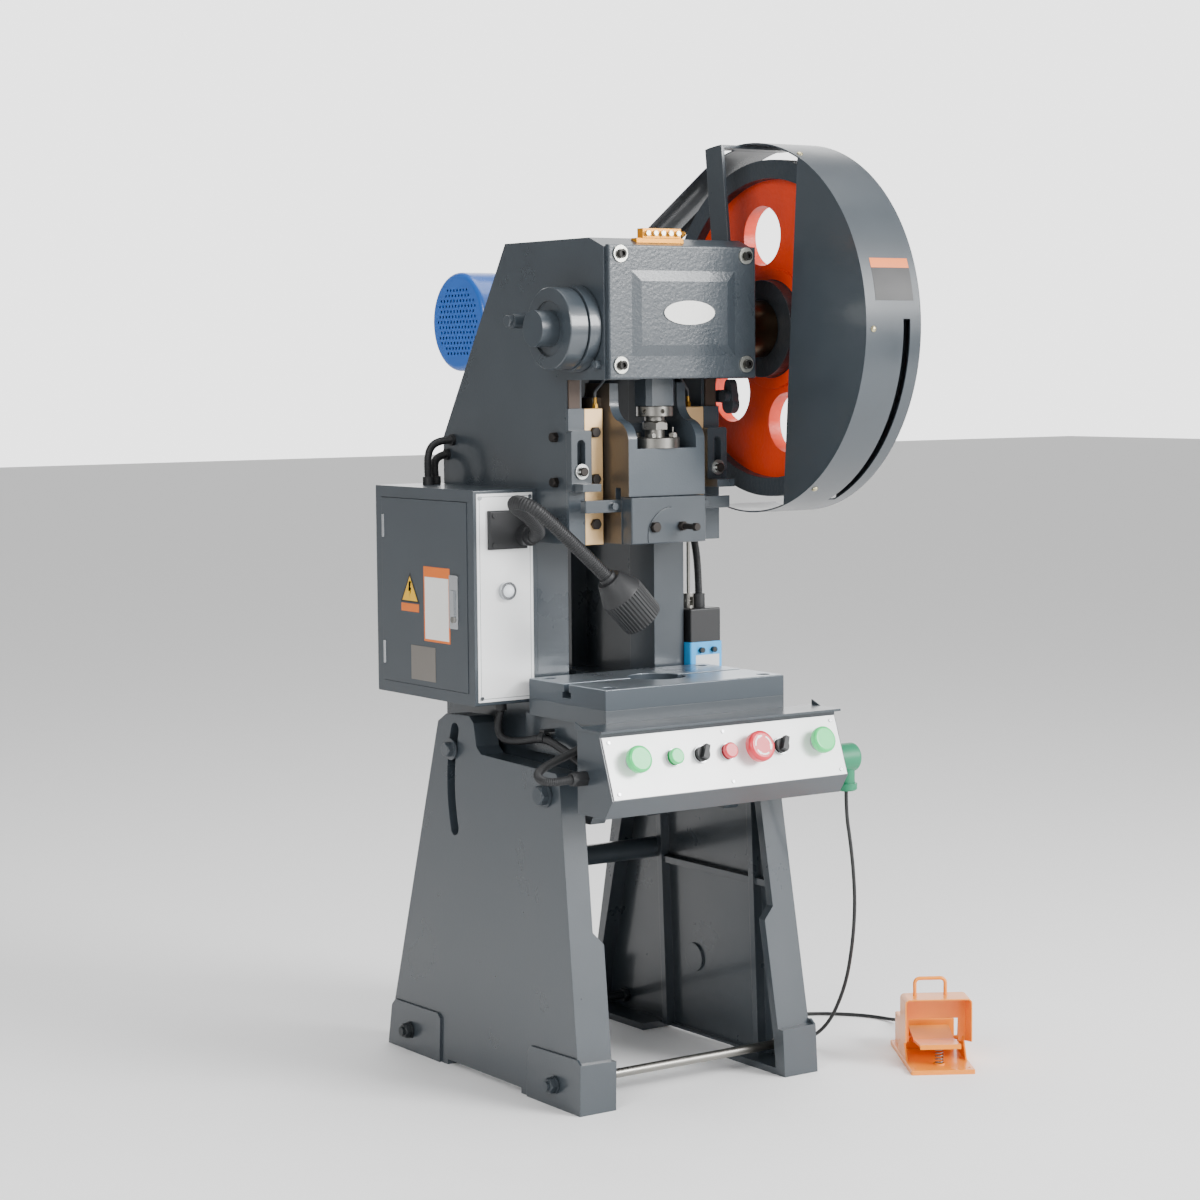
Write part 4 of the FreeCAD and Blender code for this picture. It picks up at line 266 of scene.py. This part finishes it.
# Painted castings: grey iron, ground only where parts meet, filled and sprayed with a gloss
# blue-grey machine enamel that pulls into a fine orange peel.
enamel, *_ = finish_of("blue-grey machine enamel", ENAMEL, 0.30, grain=0.0035, depth=0.00012,
                       edge=0.0018, coat=0.5)
dress(enamel, "frame_casting", "right_leg", "left_leg", "cross_tube", "motor_bracket",
      "stop_brackets", "knockout_bar", "brake_band", "brake_drum", "guard_straps",
      "trip_lever", "slot_bolts", "shank_clamp")

# Hammer-finished head cover: cast plate with a raised, bevelled field and a blank oval badge plate
# on it, under the same enamel sprayed thick enough to leave a coarse skin.
hammered, *_ = finish_of("thick enamel with a coarse skin", ENAMEL, 0.28, grain=0.0055,
                         depth=0.00045, edge=0.0025, coat=0.4)
dress(hammered, "head_cover")

# Folded sheet housings: 2 mm steel, spot welded and powder coated smooth.
sheet_paint, *_ = finish_of("blue-grey powder coat", POWDER, 0.33, grain=0.0016, depth=0.00008,
                            edge=0.0012, coat=0.25)
dress(sheet_paint, "cabinet", "control_box", "flywheel_guard")

# Cabinet door: the same powder coat, with a chromed pull latch.
door_paint, tree, shader, place = finish_of("powder-coated door with a chromed latch", POWDER,
                                            0.33, grain=0.0016, depth=0.00008, edge=0.001, coat=0.25)
x, y, z = xyz(tree, place)
patch(tree, shader, under(tree, x, DOOR_FACE - 0.0002), "#c9ccd0", 0.16, 1.0)
dress(door_paint, "cabinet_door")

# Scraped and ground steel: the bolster plate, left bright with a film of oil and faint scraping.
bright, tree, shader, place = finish_of("scraped steel plate", "#9aa3ab", 0.3, metallic=0.85,
                                        grain=0.006, depth=0.00008, edge=0.0012, stretch=(1, 0.2, 1))
x, y, z = xyz(tree, place)
patch(tree, shader, under(tree, z, TABLE_EDGE_Z), "#3a4249", 0.34, 0.15)
dress(bright, "bolster")

# Slide: enamelled like the frame, bare and oiled brown where its sides run in the guides.
slide_paint, tree, shader, place = finish_of("slide enamel with bare running sides", FILLED, 0.3,
                                             grain=0.0035, depth=0.0002, edge=0.0018, coat=0.3)
x, y, z = xyz(tree, place)
width = math_of(tree, "ABSOLUTE", x)
patch(tree, shader, over(tree, width, 0.0788), "#6b6257", 0.4, 0.7)
dress(slide_paint, "slide")

# Guide rails: enamelled outside, their unpainted upper strip gone brown with light rust.
rail_paint, tree, shader, place = finish_of("rail enamel with a rusty strip", FILLED, 0.32,
                                            grain=0.003, depth=0.0002, edge=0.0015, coat=0.25)
x, y, z = xyz(tree, place)
patch(tree, shader, over(tree, z, 1.1582), "#4d4038", 0.6, 0.5)
dress(rail_paint, "guide_rails")

# Gib plates: machined bronze, wiped with oil.
gib_bronze, *_ = finish_of("machined bronze gib", "#e6c290", 0.34, metallic=0.5, grain=0.002,
                           depth=0.00006, edge=0.0008, stretch=(1, 1, 0.08))
dress(gib_bronze, "gib_plates", "eccentric_bush")

# Fasteners: black-oxide screws; the cover's and brackets' plain washers are zinc plated. Round each
# screw what lies outside the head's radius is washer.
SCREW_HEAD_R = 0.0078
screw_black, tree, shader, place = finish_of("black-oxide screws on zinc washers", "#2b2a29", 0.42,
                                             metallic=0.8, grain=0.0012, depth=0.00004, edge=0.0005)
x, y, z = xyz(tree, place)
reach = reach_of(tree, beyond(tree, x, 0.129), beyond(tree, z, 0.091, COVER_Z))
washer = times(tree, over(tree, reach, SCREW_HEAD_R), over(tree, z, 1.1))
patch(tree, shader, washer, "#c8c8c0", 0.3, 1.0)
dress(screw_black, "socket_screws")
guide_black, tree, shader, place = finish_of("black-oxide hex bolts on zinc washers", "#33302e", 0.45,
                                             metallic=0.8, grain=0.0012, depth=0.00004, edge=0.0005)
x, y, z = xyz(tree, place)
reach = reach_of(tree, beyond(tree, x, 0.142), math_of(tree, "SUBTRACT", z, BRACKET_Z))
washer = times(tree, over(tree, reach, SCREW_HEAD_R), under(tree, reach, 0.0135))
patch(tree, shader, washer, "#c4c6c4", 0.3, 1.0)
dress(guide_black, "guide_bolts", "clamp_bolts")
dress(enamel, "head_bolts")

# Turned steel: screw, collars and rods left bright from the lathe.
turned, *_ = finish_of("turned steel", STEEL, 0.3, metallic=0.95, grain=0.001, depth=0.00003,
                       edge=0.0006, stretch=(1, 1, 6))
dress(turned, "adjusting_screw", "screw_fittings", "pull_rod", "motor_pulley",
      "treadle_spring")
tie_steel, tree, shader, place = finish_of("bright tie rods, painted nuts", STEEL, 0.3,
                                           metallic=0.95, grain=0.001, depth=0.00003, edge=0.0006)
x, y, z = xyz(tree, place)
patch(tree, shader, over(tree, math_of(tree, "ABSOLUTE", x), 0.2265), ENAMEL, 0.32, 0.1)
patch(tree, shader, over(tree, y, 0.35), "#24282b", 0.4, 0.2)
dress(tie_steel, "tie_rods")
dress(enamel, "connecting_rod")

# Crankshaft: the flange end in enamel, the clutch sleeve bare and browned with oil.
crank_steel, tree, shader, place = finish_of("crankshaft, sleeve browned with oil", ENAMEL, 0.32,
                                             grain=0.003, depth=0.0001, edge=0.001)
x, y, z = xyz(tree, place)
patch(tree, shader, over(tree, x, 0.158), "#4a3b2c", 0.28, 0.9)
dress(crank_steel, "crankshaft")

# Flywheel: cast iron, its web brushed thickly with orange-red enamel, rim and hub face left grey.
wheel_red, tree, shader, place = finish_of("orange-red enamel on a rough casting", "#e23a08", 0.42,
                                           grain=0.007, depth=0.0008, spread=0.1, edge=0.002, coat=0.2)
x, y, z = xyz(tree, place)
reach = reach_of(tree, y, math_of(tree, "SUBTRACT", z, CRANK_Z))
patch(tree, shader, over(tree, reach, 0.2585), "#3b4248", 0.35, 0.2)
patch(tree, shader, under(tree, reach, 0.0855), "#35393d", 0.35, 0.4)
dress(wheel_red, "flywheel")

# Drive belts: wrapped rubber V belts.
belt_rubber, *_ = finish_of("wrapped belt", "#1b1b1b", 0.75, grain=0.001, depth=0.00008)
dress(belt_rubber, "drive_belts")

# Motor: aluminium body and pressed cowl under blue enamel.
motor_blue, *_ = finish_of("blue motor enamel", "#1a5cb4", 0.32, grain=0.002, depth=0.0001,
                           edge=0.0012, coat=0.3)
dress(motor_blue, "motor")

# Solenoid: light blue housing with a white rating field, under a black sheet dust cover.
solenoid, tree, shader, place = finish_of("blue housing, black dust cover", "#2f9fe0", 0.4,
                                          grain=0.002, depth=0.00005, edge=0.001)
x, y, z = xyz(tree, place)
patch(tree, shader, over(tree, z, 0.7382), BLACK, 0.4, 0.0)
patch(tree, shader, under(tree, y, 0.1158), BLACK, 0.4, 0.0)
field = times(tree, under(tree, apart(tree, x, 0.195), 0.026), under(tree, z, 0.715),
              under(tree, y, 0.1163))
patch(tree, shader, field, "#c4c8cc", 0.4, 0.2)
dress(solenoid, "solenoid_box")

# White panels: aluminium sheet lacquered white, with a thin printed border line near its edge. The
# cabinet's panel carries the pilot lamp's steel bezel and clear bulb, which stand proud of it.
panel_white, tree, shader, place = finish_of("white lacquered aluminium", PANEL, 0.35,
                                             metallic=0.1, grain=0.001, depth=0.00002, spread=0.02,
                                             edge=0.0006, coat=0.2)
x, y, z = xyz(tree, place)
PANEL_X, PANEL_Z, RULE = -0.220, 0.839, 0.0004
off_x, off_z = apart(tree, x, PANEL_X), apart(tree, z, PANEL_Z)
nearest = math_of(tree, "MINIMUM", apart(tree, off_x, 0.0505), apart(tree, off_z, 0.1715))
ruled = times(tree, under(tree, nearest, RULE), under(tree, off_x, 0.0505 + RULE),
              under(tree, off_z, 0.1715 + RULE))
patch(tree, shader, ruled, "#50565c", 0.5, 0.0)
patch(tree, shader, under(tree, y, 0.1312), "#b9bcc0", 0.22, 1.0)
patch(tree, shader, under(tree, y, 0.1224), "#eef3f8", 0.15, 0.0)
dress(panel_white, "cabinet_panel")

console_white, tree, shader, place = finish_of("white console panel with steel collars", PANEL,
                                               0.33, metallic=0.1, grain=0.001, depth=0.00002,
                                               spread=0.02, edge=0.0006, coat=0.2)
proud = dot_of(tree, from_point(tree, place, PANEL_TOP), PANEL_OUT)
patch(tree, shader, over(tree, proud, 0.0022), "#b4b6b8", 0.25, 1.0)
dress(console_white, "control_panel")

# Lamp base, conduit glands and selectors: black nylon.
nylon, *_ = finish_of("black nylon", "#1d1e20", 0.5, grain=0.0012, depth=0.00005, edge=0.0008)
dress(nylon, "lamp_base", "conduit_glands", "mode_selector", "speed_selector")

# Push buttons: moulded gloss plastic.
green, *_ = finish_of("green button plastic", "#22cf6e", 0.3, grain=0.001, depth=0.00002, coat=0.3)
dress(green, "left_palm_button", "right_palm_button", "start_button")
red, *_ = finish_of("red button plastic", RED, 0.3, grain=0.001, depth=0.00002, coat=0.3)
dress(red, "stop_button")
latching, tree, shader, place = finish_of("red plastic with white turn arrows", RED, 0.3,
                                          grain=0.001, depth=0.00002, coat=0.3)
middle = PANEL_TOP + PANEL_DOWN * 0.045 + Vector((0.055, 0, 0))
offset = from_point(tree, place, middle)
across, along, outward = (dot_of(tree, offset, axis) for axis in ((1, 0, 0), PANEL_DOWN, PANEL_OUT))
sweep = math_of(tree, "ARCTAN2", along, across)
# Three arrows round the button: each is the part of its third before TIP, and past half of it the
# band widens into a head that narrows to nothing at TIP.
TIP, ARROW_R, SHAFT, HEAD, CROWN = 0.78, 0.0155, 0.0013, 0.0042, 0.028
wave = math_of(tree, "FRACT", times(tree, math_of(tree, "ADD", sweep, math.pi), 1.5 / math.pi))
flare = times(tree, over(tree, wave, 0.5), math_of(tree, "SUBTRACT", TIP, wave), HEAD)
near = under(tree, apart(tree, reach_of(tree, across, along), ARROW_R),
             math_of(tree, "ADD", SHAFT, flare))
arrows = times(tree, near, under(tree, wave, TIP), over(tree, outward, CROWN))
patch(tree, shader, arrows, "#f2f2f0", 0.4, 0.0)
dress(latching, "emergency_stop")

# Cable socket: green moulded housing, its gland nut moulded in the same green.
socket_green, *_ = finish_of("green moulded socket", "#137a55", 0.4, grain=0.001,
                             depth=0.00003, edge=0.001)
dress(socket_green, "cable_socket")

# Oil nipples and their tubes: brass fittings, grey nylon tube.
oil_brass, tree, shader, place = finish_of("brass nipple, grey tube", "#b5893c", 0.28, metallic=0.95,
                                           grain=0.001, depth=0.00002, edge=0.0004)
x, y, z = xyz(tree, place)
patch(tree, shader, over(tree, z, 1.1762), "#3a3d40", 0.4, 0.0)
dress(oil_brass, "oil_pipes")

# Lubricator: anodised orange manifold with brass outlets.
manifold, tree, shader, place = finish_of("orange anodised manifold", "#e89a1c", 0.35, metallic=0.4,
                                          grain=0.001, depth=0.00003, edge=0.0008)
x, y, z = xyz(tree, place)
patch(tree, shader, under(tree, y, -0.0582), "#d8d2c4", 0.25, 1.0)
patch(tree, shader, over(tree, x, 0.0152), "#a8752c", 0.25, 1.0)
dress(manifold, "lubricator")

# Foot switch: pressed sheet, orange powder coat.
orange, *_ = finish_of("orange powder coat", "#f08c14", 0.38, grain=0.0016, depth=0.0001,
                       edge=0.0012, coat=0.25)
dress(orange, "pedal_base", "pedal_hood", "treadle")


# Lamp neck and wiring conduits: corrugated black nylon, made of rings on a thin core, so each one
# bends. Rings are set out along the route by their real pitch.
rings = bpy.data.node_groups.new("rings along a route", "GeometryNodeTree")
for label, kind in (("Geometry", "NodeSocketGeometry"), ("Pitch", "NodeSocketFloat"),
                    ("Ring radius", "NodeSocketFloat"), ("Bead radius", "NodeSocketFloat"),
                    ("Material", "NodeSocketMaterial")):
    rings.interface.new_socket(name=label, in_out="INPUT", socket_type=kind)
rings.interface.new_socket(name="Geometry", in_out="OUTPUT", socket_type="NodeSocketGeometry")
start = add(rings, "NodeGroupInput")
dots = add(rings, "GeometryNodeCurveToPoints", {"Curve": start.outputs["Geometry"],
                                               "Length": start.outputs["Pitch"]}, mode="LENGTH")
hoop = add(rings, "GeometryNodeCurvePrimitiveCircle", {"Resolution": 28,
                                                      "Radius": start.outputs["Ring radius"]})
bead = add(rings, "GeometryNodeCurvePrimitiveCircle", {"Resolution": 8,
                                                      "Radius": start.outputs["Bead radius"]})
torus = add(rings, "GeometryNodeCurveToMesh", {"Curve": hoop.outputs[0],
                                               "Profile Curve": bead.outputs[0]})
placed = add(rings, "GeometryNodeInstanceOnPoints", {"Points": dots.outputs["Points"],
                                                     "Instance": torus.outputs[0],
                                                     "Rotation": dots.outputs["Rotation"]})
core_hoop = add(rings, "GeometryNodeCurvePrimitiveCircle", {"Resolution": 24,
                                                           "Radius": start.outputs["Ring radius"]})
core = add(rings, "GeometryNodeCurveToMesh", {"Curve": start.outputs["Geometry"],
                                              "Profile Curve": core_hoop.outputs[0],
                                              "Fill Caps": True})
both = add(rings, "GeometryNodeJoinGeometry")
rings.links.new(placed.outputs[0], both.inputs[0])
rings.links.new(core.outputs[0], both.inputs[0])
real = add(rings, "GeometryNodeRealizeInstances", {0: both.outputs[0]})
painted = add(rings, "GeometryNodeSetMaterial", {"Geometry": real.outputs[0],
                                                 "Material": start.outputs["Material"]})
add(rings, "NodeGroupOutput", {"Geometry": painted.outputs[0]})
INPUTS = {item.name: item.identifier for item in rings.interface.items_tree
          if item.in_out == "INPUT"}


BEAD = 0.32                  # a ring's bead radius, as a share of the pitch


def corrugated(name, route, radius, pitch, node):
    """A corrugated tube along a route in mm, in place of a node or a part of one."""
    obj = nurbs(name, route, 0.0)
    modifier = obj.modifiers.new("rings", "NODES")
    modifier.node_group = rings
    modifier[INPUTS["Pitch"]] = pitch
    modifier[INPUTS["Ring radius"]] = radius - pitch * BEAD
    modifier[INPUTS["Bead radius"]] = pitch * BEAD
    modifier[INPUTS["Material"]] = nylon
    tube = as_mesh(obj)
    for face in tube.data.polygons:
        face.use_smooth = True
    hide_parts(node)
    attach(tube, "press")


NECK_END = (-131, -40, 881)
corrugated("gooseneck_rings",
           [(-186, 92, 944), (-190, 64, 948), (-224, 44, 978), (-264, 34, 999),
            (-276, 10, 1008), (-270, -17, 1004), (-249, -32, 988), NECK_END],
           0.012, 0.0042, "gooseneck")
TOP = 1022                   # cabinet's top face
for index, route in enumerate((
        [(-214, 392, TOP + 14), (-215, 394, TOP + 44), (-205, 398, TOP + 68),
         (-181, 402, TOP + 78), (-161, 402, TOP + 78)],
        [(-190, 408, TOP + 14), (-190, 412, TOP + 32), (-180, 420, TOP + 48), (-161, 421, TOP + 52)],
        [(75, 421, 1399), (74, 396, 1398), (66, 376, 1352), (50, 366, 1306), (26, 356, 1254),
         (-10, 346, 1206), (-52, 340, 1168), (-92, 336, 1150), (-119, 335, 1147)],
        [(-211, 165, 642), (-212, 178, 616), (-206, 172, 589), (-196, 128, 590), (-187, 67, 603),
         (-186, 7, 588), (-192, -46, 573), (-197, -97, 570)],
        [(-272, -140, 563), (-300, -140, 561), (-316, -120, 562), (-304, -86, 570),
         (-262, -66, 580), (-214, -52, 590), (-184, -40, 596)],
        [(201, 150, 822), (201, 152, 880), (204, 172, 935), (200, 196, 980), (184, 206, 1004),
         (161, 206, 1004)])):
    corrugated(f"conduit_{index}", route, 0.007, 0.0026, "conduits")


def closed(name, mesh, material):
    """A closed bmesh as an object with its material."""
    bmesh.ops.recalc_face_normals(mesh, faces=mesh.faces)
    data = bpy.data.meshes.new(name)
    mesh.to_mesh(data)
    mesh.free()
    data.materials.append(material)
    return linked(name, data)


def loops(mesh, rows, ends=True):
    """Faces from each row of points, a closed ring, to the next, and a face at each end."""
    for one, two in zip(rows, rows[1:]):
        for k in range(len(one)):
            j = (k + 1) % len(one)
            mesh.faces.new((one[k], one[j], two[j], two[k]))
    if ends:
        mesh.faces.new(list(reversed(rows[0])))
        mesh.faces.new(rows[-1])


# Work lamp: black nylon housing with moulded cooling ribs round its front half, and an opal lens.
def lathe(name, start, axis, outline, parts, material, body, node=None, ribs=None):
    """A turned piece: outline is (along, radius) in mm; ribs is (first, last, count, depth)."""
    axis = Vector(axis).normalized()
    flat = axis.orthogonal().normalized()
    other = axis.cross(flat)
    mesh = bmesh.new()
    rows = []
    for along, radius in outline:
        row = []
        for k in range(parts):
            low = ribs and ribs[0] <= along <= ribs[1] and (k * ribs[2] * 2 // parts) % 2
            r = radius - (ribs[3] if low else 0)
            a = 2 * math.pi * k / parts
            place = Vector(start) + axis * along + (flat * math.cos(a) + other * math.sin(a)) * r
            row.append(mesh.verts.new(place / 1000))
        rows.append(row)
    loops(mesh, rows)
    obj = closed(name, mesh, material)
    for face in obj.data.polygons:
        face.use_smooth = len(face.vertices) == 4 and not ribs
    obj.data.set_sharp_from_angle(angle=math.radians(35))
    if node:
        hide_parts(node)
    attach(obj, body)


AIM = (70, -5, -75)
lathe("lamp_shell", NECK_END, AIM,
      [(0, 14.5), (8, 14.5), (8, 21), (9.5, 22.5), (40, 36.5), (43, 37.6), (46, 38), (101, 37),
       (104, 35.5), (104, 34), (91, 34), (91, 0.5)],
      216, nylon, "press", "lamp_head", ribs=(46, 101, 36, 1.8))
opal, *_ = finish_of("opal lamp lens", "#d8d8d2", 0.3, grain=0.001, depth=0.00002)
lathe("lamp_lens", NECK_END, AIM, [(92, 33.5), (95, 33.5), (96, 30)], 64, opal, "press")


# Labels and plates: blank printed film and a blank aluminium rating plate, stuck on flat.
def plate(name, corners, thickness, material, body):
    """A thin plate from its outline in mm; it grows along the outline's normal."""
    points = [Vector(c) / 1000 for c in corners]
    normal = (points[1] - points[0]).cross(points[2] - points[0]).normalized()
    mesh = bmesh.new()
    front = [mesh.verts.new(p + normal * thickness / 1000) for p in points]
    back = [mesh.verts.new(p) for p in points]
    loops(mesh, (back, front))
    obj = closed(name, mesh, material)
    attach(obj, body)


def on_door(pairs, lift=0.0):
    """Outline on the cabinet door's outer face, or lifted off it, from (y, z) in mm."""
    return [(DOOR_FACE * 1000 - lift, y, z) for y, z in pairs]


film_yellow, *_ = finish_of("yellow warning film", "#e8b421", 0.4, depth=0.00001)
film_white, *_ = finish_of("white label film", "#e6e6e2", 0.4, depth=0.00001, spread=0.02)
film_orange, *_ = finish_of("orange label film", "#e0701e", 0.4, depth=0.00001)
film_black, *_ = finish_of("black label print", "#1d1d1e", 0.45, depth=0.00001)
rating, *_ = finish_of("etched aluminium plate", "#8f8a84", 0.4, metallic=0.8, depth=0.00003)
for name, outline, lift, thick, film in (
        ("warning_back", [(376, 820), (312, 820), (344, 872)], 0.0, 0.3, film_black),
        ("warning_face", [(370, 823), (318, 823), (344, 866)], 0.3, 0.2, film_yellow),
        ("warning_flash", [(347, 857), (339, 857), (343, 846), (339, 846), (346, 827), (344, 840),
                           (349, 840)], 0.5, 0.15, film_black),
        ("warning_bar", [(374, 804), (314, 804), (314, 818), (374, 818)], 0.0, 0.3, film_orange),
        ("notice_edge", [(297, 756), (210, 756), (210, 886), (297, 886)], 0.0, 0.25, film_orange),
        ("notice_face", [(293, 760), (214, 760), (214, 868), (293, 868)], 0.25, 0.2, film_white)):
    plate(name, on_door(outline, lift), thick, film, "door")
plate("rating_plate", on_door([(342, 686), (260, 686), (260, 746), (342, 746)]), 0.6, rating, "door")
lathe("key_cylinder", (-286, 194, 800), (-1, 0, 0), [(-1, 6), (2.5, 6), (3, 5.5)], 40, turned,
      "door")
turns = [2 * math.pi * k / 48 for k in range(48)]
plate("badge", [(52 * math.cos(a) + 8, -91.0, 1316 + 20 * math.sin(a)) for a in turns], 1.0,
      film_white, "press")


# Guard fixings: zinc-plated round-head screws in the guard's band, and a blank notice with an
# orange heading stuck on it.
zinc, *_ = finish_of("yellow zinc plate", "#b9b08e", 0.3, metallic=1.0, grain=0.0008, depth=0.00001)
for index, (y, z) in enumerate(((-126, 1583), (-301, 1286), (-164, 1018))):
    out = Vector((0, y, z - CRANK_Z * 1000)).normalized()
    seat = Vector((215, 0, CRANK_Z * 1000)) + out * (GUARD_R * 1000 - 0.2)
    lathe(f"guard_screw_{index}", seat, out, [(0, 5.5), (1.5, 5.2), (3, 3.6), (3.6, 1.5)], 32, zinc,
          "press")


def on_band(turns, xs, lift, name, material):
    """A film bent round the guard's band: turns are degrees up from the front, xs across it."""
    mesh = bmesh.new()
    rows = []
    for k in range(13):
        a = math.radians(turns[0] + (turns[1] - turns[0]) * k / 12)
        rows.append([])
        for x, h in ((xs[0], 0), (xs[0], lift), (xs[1], lift), (xs[1], 0)):
            r = GUARD_R * 1000 + h
            place = Vector((x, -r * math.cos(a), CRANK_Z * 1000 + r * math.sin(a)))
            rows[-1].append(mesh.verts.new(place / 1000))
    loops(mesh, rows)
    obj = closed(name, mesh, material)
    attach(obj, "press")


on_band((7.5, 20.5), (222, 303), 0.25, "guard_notice", film_black)
on_band((17.5, 20.5), (222, 303), 0.35, "guard_notice_heading", film_orange)


# Floor and light: a pale seamless studio with large soft boxes from the left, the right and above.
floor_data = bpy.data.meshes.new("floor")
floor_data.from_pydata([(-30, -30, 0), (30, -30, 0), (30, 30, 0), (-30, 30, 0)], [], [(0, 1, 2, 3)])
floor = linked("floor", floor_data)
floor_white, *_ = finish_of("pale studio floor", "#fbfbfb", 0.8, grain=0.05, depth=0.0, spread=0.005)
floor_data.materials.append(floor_white)

# The room: dim white all round, brighter behind the press and in front to its right, which the
# enamel's left and front faces mirror, and a little light from the floor. Each row gives a
# direction, the two cosines to it between which the glow rises, and its strength.
world = bpy.data.worlds.new("studio")
world.use_nodes = True
room = world.node_tree
toward = add(room, "ShaderNodeTexCoord").outputs["Generated"]
amount = 0.3
for axis, first, last, gain in (((0.565, 0.825, 0.0), 0.72, 0.93, 2.6),
                                ((0.56, -0.82, 0.12), 0.5, 0.97, 2.6),
                                ((0.0, 0.0, -1.0), 0.02, 0.4, 0.4)):
    facing = add(room, "ShaderNodeVectorMath", {0: toward, 1: axis}, operation="DOT_PRODUCT")
    glow = add(room, "ShaderNodeMapRange", {"Value": facing.outputs["Value"], "From Min": first,
                                            "From Max": last, "To Min": 0.0, "To Max": gain})
    amount = math_of(room, "ADD", glow.outputs[0], amount)
room.nodes["Background"].inputs[0].default_value = (1, 1, 1, 1)
room.links.new(amount, room.nodes["Background"].inputs[1])
bpy.context.scene.world = world
for name, place, size, power in (("key", (2.2, -4.2, 2.8), 2.0, 330),
                                 ("fill", (-3.4, -2.2, 2.6), 2.0, 120),
                                 ("top", (0.6, 0.2, 4.2), 2.6, 100)):
    lamp = bpy.data.lights.new(name, "AREA")
    lamp.size, lamp.energy = size, power
    holder = linked(name, lamp)
    holder.location = place
    holder.rotation_euler = (Vector((0, 0, 0.9)) - Vector(place)).to_track_quat("-Z", "Y").to_euler()
